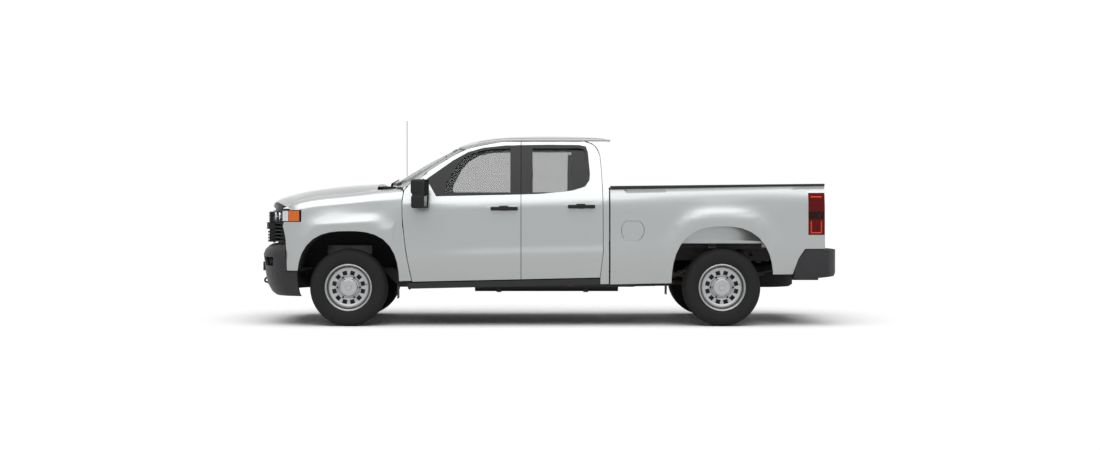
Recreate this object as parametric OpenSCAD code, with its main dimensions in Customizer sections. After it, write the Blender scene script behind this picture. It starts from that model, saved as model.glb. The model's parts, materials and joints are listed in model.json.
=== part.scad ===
/* [Overall] */
// Distance from the front axle to the rear axle
wheelbase = 3745; // [3600:5:3900]
// Nose of the front bumper to the front axle
front_overhang = 950; // [920:5:1000]
// Rear axle to the back of the rear bumper
rear_overhang = 1185; // [1150:5:1240]
// Distance between the tyre centres, side to side
track = 1740; // [1700:5:1780]
// Half of the body width at the lower door crease
body_half_w = 1000; // [980:5:1020]
// Rise of the body lines per millimetre towards the tail
rake = 0.022; // [0:0.002:0.03]
// Gap between a moving panel and its neighbour
shut_gap = 6; // [5:0.5:8]
// Gap between fixed pieces that touch on the real vehicle
seat_gap = 0.3; // [0.2:0.1:0.6]

/* [Wheels] */
// Outer radius of the tyre as it stands
tyre_r = 388; // [370:1:400]
// Width of the tyre across its sidewalls
tyre_w = 255; // [235:5:265]
// Radius of the rim at its flange
rim_r = 237; // [232:1:242]
// Width of the rim over its flanges
rim_w = 220; // [205:5:225]
// Number of vent windows in the wheel disc
vent_count = 12; // [8:1:16]
// Size of each vent window along the radius
vent_h = 42; // [34:1:46]
// Radius of the bore over the hub
hub_r = 39; // [35:1:42]
// Radius of the wheel's centre cap
cap_r = 88; // [80:1:94]
// Radius of the brake disc
brake_r = 160; // [150:1:166]

/* [Body] */
// Front axle to the front edge of the front door
axle_to_door = 540; // [535:5:560]
// Length of the front door at its lower edge line
front_door_l = 1187; // [1150:1:1210]
// Length of the rear door
rear_door_l = 817; // [790:1:830]
// Length of the cab side panel behind the rear door
rear_corner_l = 54; // [50:1:70]
// Thickness of a door below the window
door_t = 110; // [90:5:120]
// Thickness of the door frame round the window
frame_t = 58; // [50:2:64]
// Thickness of a fender or hood panel
panel_t = 24; // [18:1:30]
// Thickness of the window glass
glass_t = 5; // [4:0.5:6]
// Width of the band that the arch flare stands proud
flare_h = 42; // [25:1:50]
// Height of the roof at its highest point
roof_z = 1935; // [1900:5:1960]
// Height of the seam between doors and roof
seam_z = 1861; // [1845:1:1870]

/* [Load bed] */
// Gap between the cab and the bed
bed_gap = 16; // [14:1:25]
// Height of the load floor
floor_z = 850; // [840:5:860]
// Half of the bed's width between its inner walls
bed_half_w = 905; // [890:5:915]
// Half of the width between the wheel housings
wheelhouse_y = 643; // [620:1:660]
// Thickness of the tailgate
gate_t = 80; // [60:5:90]
// Half of the tailgate's width
gate_half_w = 775; // [750:5:785]
// Number of ribs along the load floor
rib_count = 9; // [5:2:13]
// Height of the ribs
rib_h = 14; // [10:1:18]

/* [Front] */
// Number of slats in each half of the grille
slat_count = 4; // [2:1:6]
// Height of the grille's centre bar
bar_h = 66; // [50:2:80]

/* [Chassis] */
// Height of a frame rail
rail_h = 130; // [110:5:140]
// Width of a frame rail
rail_w = 70; // [55:5:75]
// Distance from the centre line to a rail's inner face
rail_y = 400; // [395:1:410]
// Radius of the steering kingpin's offset from the tyre centre
kingpin_in = 70; // [60:1:80]

/* [Hidden] */
$fn = 48;

length = front_overhang + wheelbase + rear_overhang;
nose_x = -length / 2;
tail_x = length / 2;
front_axle_x = nose_x + front_overhang;
rear_axle_x = tail_x - rear_overhang;
wheel_y = track / 2;
wheel_z = tyre_r;
door_x = front_axle_x + axle_to_door;
pillar_x = door_x + front_door_l;
corner_x = pillar_x + shut_gap + rear_door_l;
cab_x = corner_x + shut_gap + rear_corner_l;
bed_x = cab_x + bed_gap;
gate_x = tail_x - 155;
hinge_y = body_half_w + 2;
front_hinge_x = door_x + 50;
rear_hinge_x = pillar_x + shut_gap + 32;
gate_pin_x = gate_x - gate_t / 2;
gate_pin_z = floor_z - gate_t / 2;
cab_floor_z = 530;
floor_t = 22;
rail_low = 370;
wall_x = door_x - 28;

// A smooth step from 0 at a to 1 at b
function fade(a, b, x) = let (t = max(0, min(1, (x - a) / (b - a)))) t * t * (3 - 2 * t);
function mix(a, b, t) = a + (b - a) * t;
function between(a, b, n) = [for (i = [0:n]) a + (b - a) * i / n];

// Wheel arches are superellipses round the axle
arch_front = [510, 567, 2.8];
arch_rear = [510, 614, 2.6];
function arch_rho(x, z, cx, arch) = pow(
    pow(abs(x - cx) / arch[0], arch[2]) + pow(max(0, z - wheel_z) / arch[1], arch[2]), 1 / arch[2]);
function arch_point(cx, arch, angle, grow) =
    let (c = cos(angle), s = sin(angle),
         r = grow / pow(pow(abs(c) / arch[0], arch[2]) + pow(abs(s) / arch[1], arch[2]), 1 / arch[2]))
    [cx + r * c, wheel_z + r * s];
function arch_outline(cx, arch, grow, n) =
    concat([for (i = [0:n]) arch_point(cx, arch, 180 * i / n, grow)],
        [[cx - arch[0] * grow, 100], [cx + arch[0] * grow, 100]]);
// The flare rises to its crest at 1.1 arch radii and dies away at 1.38
function flare(rho) = flare_h * (rho < 1.1 ? 0.8 + 2 * (rho - 1) : 1 - fade(1.1, 1.38, rho));
function flares(x, z) =
    flare(max(1, arch_rho(x, z, front_axle_x, arch_front))) * (1 - fade(door_x - 130, door_x - 10, x))
    + flare(max(1, arch_rho(x, z, rear_axle_x, arch_rear)));

// Plan of the nose: a superellipse, and the body side runs on straight behind it
nose_start = front_axle_x - 310;
function nose_at(y, depth, half_w, power) =
    nose_start - depth * pow(1 - pow(min(0.999, abs(y) / half_w), power), 1 / power);
function nose_pt(a, depth, half_w, power, z) = [
    nose_start - depth * pow(abs(cos(a)), 2 / power), -sign(a) * half_w * pow(abs(sin(a)), 2 / power), z];
function plan_in(x) =
    (x < nose_start
        ? body_half_w * (1 - pow(1 - pow(min(1, (nose_start - x) / 551), 3.2), 1 / 3.2))
        : 0) + 15 * fade(gate_x - 400, gate_x, x);

// Body side, as half of the width at a place and a height
crease_drop = [[front_axle_x - 600, 1150], [front_axle_x, 1080], [door_x, 1150], [door_x + 500, 1195],
    [bed_x, 1190], [rear_axle_x - 600, 1120], [rear_axle_x, 1050], [rear_axle_x + 500, 1090], [gate_x, 1225]];
function band(x) = fade(door_x + 150, door_x + 700, x) * (1 - fade(bed_x + 250, bed_x + 480, x));
belt_z = 1312;
function side_w(x, z) =
    lookup(z - rake * x, [[405, body_half_w - 44], [480, body_half_w - 30], [580, body_half_w - 14],
        [722, body_half_w], [812, body_half_w - 8 - 12 * band(x)], [lookup(x, crease_drop), body_half_w - 10],
        [1260, body_half_w - 28], [belt_z, body_half_w - 50], [1400, body_half_w - 75]])
    - plan_in(x) + flares(x, z);
// Above the belt the side leans in to the roof
roof_half_w = body_half_w - 310;
function house_w(h) = mix(body_half_w - 50, roof_half_w, (h - belt_z) / (seam_z - belt_z))
    + 12 * sin(180 * (h - belt_z) / (seam_z - belt_z));
// The body lines rise towards the tail, and the roof seam lies level
function lift(x, h) = rake * x * (h < belt_z ? 1 : max(0, (seam_z - h) / (seam_z - belt_z)));
function cab_w(x, h) = h <= belt_z ? side_w(x, h + lift(x, h)) : house_w(h);

// Seam between hood and fender, and the fender's roll over to it
hood_seam = [[front_axle_x - 700, 120, 1186], [front_axle_x - 596, 140, 1196], [front_axle_x - 550, 170, 1250],
    [front_axle_x - 498, 188, 1271], [front_axle_x - 343, 200, 1303], [front_axle_x - 34, 200, 1333],
    [front_axle_x + 256, 200, 1365], [front_axle_x + 540, 200, 1388]];
function seam_yz(x, k) = lookup(x, [for (p = hood_seam) [p[0], k == 1 ? body_half_w - p[1] : p[k]]]);
roll_h = 140;
function fender_w(x, z) =
    let (top = seam_yz(x, 2), y = seam_yz(x, 1) + shut_gap / 2, start = top - roll_h)
    z <= start ? side_w(x, z)
        : y + max(0, side_w(x, start) - y) * sqrt(max(0, 1 - pow(min(1, (z - start) / roll_h), 2)));
hood_back_x = front_axle_x + 275;
hood_pin_x = hood_back_x - 30;
hood_pin_z = 1400;
hood_line = [[nose_x + 89, 1181], [nose_x + 130, 1235], [nose_x + 171, 1282], [nose_x + 251, 1312],
    [nose_x + 413, 1353], [nose_x + 615, 1389], [nose_x + 818, 1410], [nose_x + 1001, 1428],
    [nose_x + 1300, 1436]];
function hood_front(y) = nose_at(y, 551, body_half_w - 50, 2.6);
function hood_z(x, y) =
    let (e = seam_yz(x, 2), c = max(e, lookup(x - 0.25 * (hood_front(y) - hood_front(0)), hood_line)),
         t = min(1, abs(y) / seam_yz(x, 1)))
    e + (c - e) * (1 - pow(t, 3.4)) + 10 * fade(0.62, 0.72, t) * (1 - fade(0.9, 1, t));

// Door edges as [level, x]
door_front = [[477, door_x + 102], [587, door_x + 77], [778, door_x + 40], [969, door_x + 18],
    [1117, door_x + 3], [1293, door_x], [1391, door_x + 18], [1440, door_x + 70], [1461, door_x + 92],
    [1483, door_x + 200], [1566, door_x + 249], [1721, door_x + 505], [1778, door_x + 624],
    [1812, door_x + 741], [1834, door_x + 875], [1851, door_x + 951], [seam_z, door_x + 1020]];
door_rear = [[484, corner_x - 30], [559, corner_x - 19], [706, corner_x], [1073, corner_x],
    [1370, corner_x - 4], [1600, corner_x - 15], [1737, corner_x - 27], [1814, corner_x - 73],
    [1851, corner_x - 134], [seam_z, corner_x - 180]];
side_levels = [477, 587, 722, 812, 900, 1000, 1117, 1200, 1260];
house_levels = [belt_z, 1391, 1440, 1461, 1483, 1566, 1640, 1721, 1778, 1812, 1840, seam_z];
function skin_t(h) = mix(door_t, frame_t, fade(belt_z - 30, belt_z + 40, h));
function bevel(h) = skin_t(h) * mix(0.24, 0.55, fade(belt_z - 30, belt_z + 40, h));
// Grid of a side panel on the left, deep in from the outer skin by k skin thicknesses
function side_grid(levels, first, last, n, k) =
    [for (h = levels) [for (i = [0:n])
        let (x = mix(lookup(h, first), lookup(h, last), i / n) )
        [x - k * bevel(h) * i / n, -(cab_w(x, h) - k * skin_t(h)), h + lift(x, h)]]];
function straight(x) = [[0, x], [3000, x]];
function moved(edge, d) = [for (p = edge) [p[0], p[1] + d]];

// A closed shell between an outer and an inner grid of points
module shell(outer, inner) {
    rows = len(outer);
    cols = len(outer[0]);
    n = rows * cols;
    function at(j, i) = j * cols + i;
    polyhedron(
        points = concat([for (row = outer) for (p = row) p], [for (row = inner) for (p = row) p]),
        faces = concat(
            [for (j = [0:rows - 2]) for (i = [0:cols - 2]) each [
                [at(j, i), at(j + 1, i), at(j + 1, i + 1)], [at(j, i), at(j + 1, i + 1), at(j, i + 1)]]],
            [for (j = [0:rows - 2]) for (i = [0:cols - 2]) each [
                [n + at(j, i), n + at(j + 1, i + 1), n + at(j + 1, i)],
                [n + at(j, i), n + at(j, i + 1), n + at(j + 1, i + 1)]]],
            [for (i = [0:cols - 2]) each [
                [at(0, i), at(0, i + 1), n + at(0, i + 1)], [at(0, i), n + at(0, i + 1), n + at(0, i)]]],
            [for (i = [0:cols - 2]) each [
                [at(rows - 1, i), n + at(rows - 1, i + 1), at(rows - 1, i + 1)],
                [at(rows - 1, i), n + at(rows - 1, i), n + at(rows - 1, i + 1)]]],
            [for (j = [0:rows - 2]) each [
                [at(j, 0), n + at(j + 1, 0), at(j + 1, 0)], [at(j, 0), n + at(j, 0), n + at(j + 1, 0)]]],
            [for (j = [0:rows - 2]) each [
                [at(j, cols - 1), at(j + 1, cols - 1), n + at(j + 1, cols - 1)],
                [at(j, cols - 1), n + at(j + 1, cols - 1), n + at(j, cols - 1)]]]));
}
module both() {
    children();
    mirror([0, 1, 0]) children();
}
module right() {
    mirror([0, 1, 0]) children();
}
// A prism with its outline in the side view, from y0 to y1
module side_prism(points, y0, y1) {
    translate([0, y1, 0]) rotate([90, 0, 0]) linear_extrude(y1 - y0) polygon(points);
}
// A prism with its outline in the front view, from x0 to x1
module front_prism(points, x0, x1) {
    translate([x0, 0, 0]) rotate([90, 0, 90]) linear_extrude(x1 - x0) polygon(points);
}
module box(x0, x1, y0, y1, z0, z1) {
    translate([x0, y0, z0]) cube([x1 - x0, y1 - y0, z1 - z0]);
}
module rod(a, b, r) {
    d = b - a;
    l = norm(d);
    translate(a) rotate([0, acos(d[2] / l), atan2(d[1], d[0])]) cylinder(r = r, h = l);
}

// Window openings in the side view
function front_window() = [[door_x + 415, 1342], [door_x + 440, 1440], [door_x + 530, 1600],
    [door_x + 610, 1690], [door_x + 730, 1755], [door_x + 880, 1785], [pillar_x - 105, 1792],
    [pillar_x - 105, 1342]];
function rear_window() = [[pillar_x + 120, 1342], [pillar_x + 120, 1792], [corner_x - 220, 1792],
    [corner_x - 175, 1772], [corner_x - 155, 1700], [corner_x - 140, 1560], [corner_x - 142, 1450],
    [corner_x - 175, 1400], [corner_x - 300, 1358], [corner_x - 440, 1342]];
module door_shell(first, last, window, n) {
    levels = concat(side_levels, house_levels);
    difference() {
        shell(side_grid(levels, first, last, n, 0), side_grid(levels, first, last, n, 1));
        side_prism(window, -1100, -500);
    }
}
module front_door() {
    difference() {
        door_shell(door_front, straight(pillar_x), front_window(), 6);
        // grip recess behind the handle
        translate([pillar_x - 165, -body_half_w, 1180]) scale([1, 0.3, 0.42]) sphere(r = 62, $fn = 24);
    }
    handle(pillar_x - 165, 1180);
}
module handle(x, z) {
    y = -side_w(x, z);
    linear_z(z - 17, 34) polygon([[x - 125, y + 6], [x - 125, y - 12], [x - 95, y - 36], [x + 85, y - 38],
        [x + 122, y - 16], [x + 122, y + 6], [x + 95, y + 6], [x + 72, y - 18], [x - 82, y - 18], [x - 100, y + 6]]);
}
module rear_door() {
    difference() {
        door_shell(straight(pillar_x + shut_gap), door_rear, rear_window(), 6);
        translate([corner_x - 215, -body_half_w, 1200]) scale([1, 0.3, 0.42]) sphere(r = 62, $fn = 24);
    }
    handle(corner_x - 215, 1200);
}
module pane(window) {
    levels = [1330, 1440, 1566, 1680, 1800];
    x0 = min([for (p = window) p[0]]) - 5;
    x1 = max([for (p = window) p[0]]) + 5;
    intersection() {
        shell(
            [for (h = levels) [for (x = [x0, x1]) [x, -house_w(h) + 14, h]]],
            [for (h = levels) [for (x = [x0, x1]) [x, -house_w(h) + 14 + glass_t, h]]]);
        translate([0, -500, 0]) rotate([90, 0, 0]) linear_extrude(600)
            offset(delta = -seat_gap) polygon(window);
    }
}
module front_door_left() { color("silver") front_door(); }
module front_door_right() { color("silver") right() front_door(); }
module rear_door_left() { color("silver") rear_door(); }
module rear_door_right() { color("silver") right() rear_door(); }
module front_glass_left() { color("lightblue") pane(front_window()); }
module front_glass_right() { color("lightblue") right() pane(front_window()); }
module rear_glass_left() { color("lightblue") pane(rear_window()); }
module rear_glass_right() { color("lightblue") right() pane(rear_window()); }

// Mirror housing on its arm, with the arm's foot on the door's sail corner
mirror_x = door_x + 195;
module mirror_body() {
    function skin(h) = -(cab_w(mirror_x, h) + 2.5 * seat_gap);
    difference() {
        translate([mirror_x, -body_half_w - 105, 1325]) rotate([0, 0, -12])
            front_prism([[-105, -140], [60, -140], [75, -20], [85, 100], [75, 145], [-85, 145],
                [-108, 100]], -62, 62);
        translate([mirror_x, -body_half_w - 105, 1325]) rotate([0, 0, -12])
            front_prism([[-95, -130], [50, -130], [74, 98], [66, 135], [-78, 135], [-98, 98]], 52, 80);
    }
    front_prism([[-body_half_w - 60, 1333], [skin(1356), 1333], [skin(1396), 1373],
        [-body_half_w - 60, 1373]],
        mirror_x + 20, mirror_x + 70);
}
module mirror_left() { color("dimgray") mirror_body(); }
module mirror_right() { color("dimgray") right() mirror_body(); }

module hood() {
    xs = [0, 0.02, 0.045, 0.07, 0.1, 0.13, 0.17, 0.27, 0.4, 0.6, 0.8, 1];
    ys = [-1, -0.96, -0.9, -0.8, -0.7, -0.6, -0.4, -0.2, 0, 0.2, 0.4, 0.6, 0.7, 0.8, 0.9, 0.96, 1];
    function edge(u) = abs(u) * (seam_yz(front_axle_x - 596, 1) - shut_gap / 2);
    function point(u, v, t) =
        let (x0 = mix(hood_front(edge(u)), hood_back_x, v),
             f = (1 - fade(0, 0.08, v)) * t,
             x = x0 + f * 0.8,
             y = u * (seam_yz(x, 1) - shut_gap / 2 - 1.2))
        [x, y, hood_z(x0, y) - t + f * 0.5];
    color("silver") shell([for (u = ys) [for (v = xs) point(u, v, 0)]],
        [for (u = ys) [for (v = xs) point(u, v, panel_t)]]);
}
module front_fender() {
    vs = [0, 0.1, 0.2, 0.32, 0.44, 0.55, 0.65, 0.75, 0.84, 0.88, 0.92, 0.95, 0.98, 1];
    us = concat([0, 0.015, 0.03, 0.045, 0.065, 0.085, 0.11], between(0.15, 1, 17));
    bottom = 452;
    function first(z) = lookup(z, [[450, front_axle_x - 614], [560, front_axle_x - 614],
        [714, front_axle_x - 625], [860, front_axle_x - 632], [936, front_axle_x - 645],
        [1028, front_axle_x - 672], [1160, front_axle_x - 596], [1250, front_axle_x - 594]]);
    function last(z) = min(lookup(z - rake * door_x, door_front) - shut_gap - 1, door_x + 2);
    function point(u, v, t) =
        let (x = mix(first(mix(bottom, 1196, v)), last(mix(bottom, 1388, v)), u),
             z = mix(bottom, seam_yz(x, 2), v),
             q = max(0, z - seam_yz(x, 2) + roll_h) / roll_h)
        [x, -(fender_w(x, z) - t * (1 - q)), z - t * q];
    difference() {
        shell([for (v = vs) [for (u = us) point(u, v, 0)]],
            [for (v = vs) [for (u = us) point(u, v, panel_t)]]);
        side_prism(arch_outline(front_axle_x, arch_front, 1, 20), -1200, -500);
        box(front_axle_x - 800, front_axle_x - 400, -1200, -500, 300, 559);
        box(front_axle_x - 800, front_axle_x - 470, -1200, -500, lamp_z0 - seat_gap, lamp_z1 + seat_gap);
    }
}
module front_fenders() { color("silver") both() front_fender(); }

module roof() {
    xs = [0, 0.04, 0.1, 0.18, 0.28, 0.45, 0.65, 0.82, 0.92, 0.97, 1];
    ys = [-1, -0.97, -0.92, -0.84, -0.7, -0.5, -0.25, 0, 0.25, 0.5, 0.7, 0.84, 0.92, 0.97, 1];
    function point(u, v, k) =
        let (x = mix(windshield_top_x + 34 * u * u, cab_x + 30, v), y = u * (roof_half_w + 2))
        [x, y, roof_at(x, u) - k * mix(26, roof_edge_t, fade(0.8, 1, abs(u)))];
    color("silver")
        shell([for (u = ys) [for (v = xs) point(u, v, 0)]], [for (u = ys) [for (v = xs) point(u, v, 1)]]);
}
roof_edge_t = 12;
windshield_top_x = door_x + 527;
roof_line = [[-923, -123], [-850, -90], [-750, -57], [-600, -27], [-450, -11], [-250, -2], [0, 0], [300, -2],
    [500, -11], [600, -24], [650, -42]];
roof_side = [[-895, 1798], [-826, 1808], [-709, 1840], [-575, 1861], [-499, 1876],
    [-430, seam_z + shut_gap + roof_edge_t], [660, seam_z + shut_gap + roof_edge_t]];
function roof_at(x, u) = let (e = lookup(x, roof_side), c = max(e, roof_z + lookup(x, roof_line)))
    e + (c - e) * (1 - pow(abs(u), 2.8));
module pillars() {
    levels = [1391, 1416, 1419, 1440, 1461, 1483, 1566, 1640, 1721, 1778];
    post_levels = concat([for (h = side_levels) if (h > 580) h], house_levels);
    function glass_edge(h, k) = h < 1417 ? (k == 0 ? door_x + 8 : cab_w(0, h))
        : lookup(h, [[1415, k == 0 ? -1537 : body_half_w - 232], [1790, k == 0 ? -889 : body_half_w - 350]]);
    function edge_x(h) = lookup(h - 8, door_front) - shut_gap;
    function rib(h, t, w) = let (z = h + lift(-1400, h), x0 = glass_edge(h, 0), x1 = edge_x(h),
            y0 = glass_edge(h, 1), y1 = cab_w(0, h))
        [[x0 + w, -y0 + t * 0.5, z], [mix(x0, x1, 0.5 + w / 200), -mix(y0, y1, 0.75) + t * 0.7, z],
            [x1, -y1 + t, z]];
    // the door shuts on the seal strip at the post's front half
    function post(h, k) = [for (c = [[-60, 0], [-34, 0], [-30, 9], [55, 9]])
        let (x = pillar_x + c[0])
        [x, -(cab_w(x, h) - skin_t(h) - 2 * seat_gap - c[1]) + k, h + lift(x, h)]];
    color("silver") both() {
        shell([for (h = levels) rib(h, 0, 0)], [for (h = levels) rib(h, 46, 12)]);
        box(door_x + 5, door_x + 65, -846, -800, cab_floor_z + floor_t + seat_gap, 1290);
        box(door_x + 5, door_x + 65, 174 - body_half_w, 210 - body_half_w, 1289, 1408);
        box(pillar_x - 60, pillar_x + 55, -856, -832, cab_floor_z + floor_t + seat_gap, 600);
        shell([for (h = post_levels) post(h, 0)], [for (h = post_levels) post(h, 34)]);
        box(pillar_x - 50, pillar_x + 45, -618, -592, 1850, roof_at(pillar_x, 0.87) - 27);
    }
}
module cab_back() {
    levels = concat([410, 450], side_levels, [belt_z, 1391, 1461, 1566, 1640, 1721, 1778, 1812, 1840,
        seam_z + shut_gap - seat_gap]);
    function edge(h, k) = lookup(h - 8, door_rear) + shut_gap - k;
    function skin(h, i, t) = let (x = mix(edge(h, 0), cab_x, i / 2)) [x, -cab_w(x, h) + t, h + lift(x, h)];
    // the flange behind the door's rear edge carries its seal
    function flange(h, i, t) = let (x = mix(edge(h, 60), edge(h, -9), i))
        [x, -cab_w(x, h) + skin_t(h) + 2 * seat_gap + t, h + lift(x, h)];
    function web(h, i, t) = let (x = mix(edge(h, -2), edge(h, -23), i)) [x, -cab_w(x, h) + t, h + lift(x, h)];
    seals = [for (h = levels) if (h > 580 && h < 1850) h];
    top = seam_z + shut_gap - 3;
    color("silver") {
        both() {
            shell([for (h = levels) [for (i = [0:2]) skin(h, i, 0)]],
                [for (h = levels) [for (i = [0:2]) skin(h, i, 45)]]);
            shell([for (h = seals) [for (i = [0:1]) flange(h, i, 0)]],
                [for (h = seals) [for (i = [0:1]) flange(h, i, 20)]]);
            shell([for (h = seals) [for (i = [0:1]) web(h, i, 31)]],
                [for (h = seals) [for (i = [0:1]) web(h, i, skin_t(h) + 13.3)]]);
        }
        difference() {
            front_prism([[-930, cab_floor_z], [930, cab_floor_z], [925, 1312], [680, top], [450, top],
                [200, top + 7], [-200, top + 7], [-450, top], [-680, top], [-925, 1312]], cab_x - 34, cab_x - 10);
            back_window(0, cab_x - 60, 80);
        }
    }
}
module back_window(inset, x, t) {
    front_prism([[-600 + inset, 1400 + inset], [600 - inset, 1400 + inset], [590 - inset, 1600],
        [560 - inset, 1760 - inset], [-560 + inset, 1760 - inset], [-590 + inset, 1600]], x, x + t);
}
function windshield_at(u, v, t) =
    [mix(-1612, windshield_top_x - 12, v) + mix(83, 34, v) * u * u, u * mix(body_half_w - 238, body_half_w - 356, v),
        mix(1421, 1803, v) - mix(2, 20, v) * u * u + 14 * sin(180 * v)] + t * [0.488, 0, -0.873];
module cab_glass() {
    vs = between(0, 1, 4);
    us = between(-1, 1, 8);
    color("lightblue") {
        shell([for (u = us) [for (v = vs) windshield_at(u, v, 0)]],
            [for (u = us) [for (v = vs) windshield_at(u, v, glass_t)]]);
        back_window(seat_gap, cab_x - 26, glass_t);
    }
}
module cab_floor() {
    tunnel = [[150, 700], [205, cab_floor_z], [850, cab_floor_z]];
    top = [[850, cab_floor_z + floor_t], [222, cab_floor_z + floor_t], [166, 700 + floor_t]];
    half = concat(tunnel, top);
    color("dimgray") {
        front_prism(concat([for (i = [len(top) - 1:-1:0]) [-top[i][0], top[i][1]]],
            [for (i = [2:-1:0]) [-tunnel[i][0], tunnel[i][1]]], half), wall_x, door_x + 712);
        box(door_x + 711, cab_x - 36, -850, 850, cab_floor_z, cab_floor_z + floor_t);
        both() shell(
            [for (h = [405, 440, 466]) [for (i = [0:4]) let (x = mix(door_x + 55, corner_x - 30, i / 4))
                [x, -side_w(x, h + rake * x), h + rake * x]]],
            [for (h = [405, 440, 466]) [for (i = [0:4]) let (x = mix(door_x + 55, corner_x - 30, i / 4))
                [x, -848, h + rake * x]]]);
        both() box(door_x + 60, corner_x - 32, -850, -800, 412, cab_floor_z + 1);
    }
}
module firewall() {
    z = cab_floor_z + floor_t + seat_gap;
    color("dimgray") {
        front_prism([[-799, z], [-230, z], [-172, 724], [172, 724], [230, z], [799, z], [799, 1320], [-799, 1320]],
            wall_x, wall_x + 20);
        side_prism([[hood_back_x + 28, 1300], [hood_back_x + 28, 1365], [-1640, 1392], [-1560, 1398],
            [wall_x + 20, 1330], [wall_x + 20, 1300]], 210 - body_half_w, body_half_w - 210);
    }
}
module dashboard() {
    color("dimgray") {
        side_prism([[door_x - 7, 1000], [door_x - 7, 1322], [door_x + 120, 1345], [door_x + 330, 1320],
            [door_x + 400, 1240], [door_x + 340, 1060], [door_x + 250, 1000]],
            210 - body_half_w, body_half_w - 210);
        side_prism([[door_x + 60, 723], [door_x + 240, 723], [door_x + 260, 1002], [door_x + 80, 1002]], -110, 110);
        rod(wheel_pivot - 300 * column, wheel_pivot - 90 * column, 36);
    }
}
module seat_pair(x, w0, w1) {
    base = cab_floor_z + floor_t + seat_gap;
    side_prism([[x, base], [x + 40, 700], [x - 20, 780], [x, 850], [x + 420, 820], [x + 440, 860], [x + 560, 1420],
        [x + 640, 1430], [x + 680, 1390], [x + 590, 800], [x + 500, 700], [x + 480, base]], w0, w1);
    side_prism([[x + 575, 1425], [x + 600, 1590], [x + 680, 1600], [x + 670, 1420]], (w0 + w1) / 2 - 120,
        (w0 + w1) / 2 + 120);
}
module seats() {
    color("dimgray") {
        both() seat_pair(door_x + 640, -690, -240);
        x = cab_x - 50;
        side_prism([[x - 600, cab_floor_z + floor_t + seat_gap], [x - 600, 800], [x - 570, 840], [x - 170, 810],
            [x - 140, 860], [x - 70, 1400], [x - 10, 1400], [x, cab_floor_z + floor_t + seat_gap]],
            240 - body_half_w, body_half_w - 240);
    }
}
wheel_pivot = [door_x + 550, -400, 1190];
column = [0.9, 0, 0.436];
module steering_wheel() {
    color("dimgray") translate(wheel_pivot) rotate([0, 64.15, 0]) {
        rotate_extrude() translate([185, 0]) circle(r = 16, $fn = 24);
        cylinder(r = 62, h = 44, center = true);
        for (a = [90, 210, 330]) rotate([0, 0, a]) translate([20, -18, -10]) cube([160, 36, 20]);
        translate([0, 0, seat_gap - 90]) cylinder(r = 22, h = 75);
    }
}

// Load bed
rail_top = 1391;
function rail_z(x) = mix(1377, 1410, (x - bed_x) / (gate_x - bed_x));
module bed_skin() {
    xs = concat([bed_x, bed_x + 170, bed_x + 340], between(rear_axle_x - 690, rear_axle_x + 690, 22),
        [gate_x - 180, gate_x - 80, gate_x]);
    levels = [405, 480, 580, 722, 812, 900, 1000, 1060, 1120, 1190, 1260, belt_z, 9999];
    function point(x, h, t) = let (z = min(h + rake * x, rail_z(x))) [x, -(side_w(x, z) - t), z];
    difference() {
        shell([for (h = levels) [for (x = xs) point(x, h, 0)]],
            [for (h = levels) [for (x = xs) point(x, h, panel_t)]]);
        side_prism(arch_outline(rear_axle_x, arch_rear, 1, 20), -1200, -500);
        side_prism([[rear_axle_x, 300], [rear_axle_x, 521], [gate_x - 322, 521], [gate_x - 306, 570],
            [gate_x - 268, 677], [gate_x - 210, 766], [gate_x - 196, 777], [gate_x + 10, 777],
            [gate_x + 10, 300]], -1200, -500);
        box(gate_x - 168, gate_x + 10, -1200, -500, lamp_rear_z0, lamp_rear_z1);
    }
}
lamp_z0 = 1045;
lamp_z1 = 1165;
lamp_rear_z0 = 915;
lamp_rear_z1 = 1337;
module bed_side() {
    bed_skin();
    // inner wall, its flange to the rail, the post at the gate and the front post
    side_prism([[bed_x + 10, floor_z - 20], [gate_x - 172, floor_z - 20], [gate_x - 172, rail_z(gate_x - 172)],
        [bed_x + 10, rail_z(bed_x + 10)]], -bed_half_w - 12, -bed_half_w);
    side_prism([[bed_x, rail_z(bed_x) - 12], [bed_x, rail_z(bed_x)], [gate_x, rail_z(gate_x)],
        [gate_x, rail_z(gate_x) - 12]], -bed_half_w - 35, -bed_half_w);
    difference() {
        box(gate_x - 190, gate_x, -bed_half_w - 10, -gate_half_w - shut_gap, 790, rail_z(gate_x - 190));
        box(gate_x - 168, gate_x + 10, -bed_half_w - 20, -gate_half_w - shut_gap - 20, lamp_rear_z0, lamp_rear_z1);
        rotate([90, 0, 0]) translate([gate_hinge[0], gate_hinge[1], gate_half_w]) cylinder(r = gate_pin_r + 0.05, h = 30);
    }
    box(gate_x - 60, gate_x - 1, -bed_half_w - 55, -bed_half_w, 790, 912);
    box(bed_x, bed_x + 24, -bed_half_w - 35, -bed_half_w + 10, 470, 1340);
}
gate_pin_r = 10;
gate_top = 1420;
fuel_c = [corner_x + 299, 960];
module fuel_shape(grow) {
    translate(fuel_c) offset(r = grow) intersection() {
        circle(r = 112);
        translate([-112, -92]) square([224, 184]);
    }
}
module bed_sides() {
    color("silver") {
        difference() {
            both() bed_side();
            translate([0, -900, 0]) rotate([90, 0, 0]) linear_extrude(300) {
                fuel_shape(5);
            }
            // pocket for the fuel door's goose-neck hinge
            box(fuel_pin[0] - 14, fuel_c[0] - 100, fuel_pin[1] - 10, -920, fuel_c[1] - 22, fuel_c[1] + 22);
        }
        translate([fuel_pin[0], fuel_pin[1], fuel_c[1]]) cylinder(r = 3, h = 60, center = true);
    }
}
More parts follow.
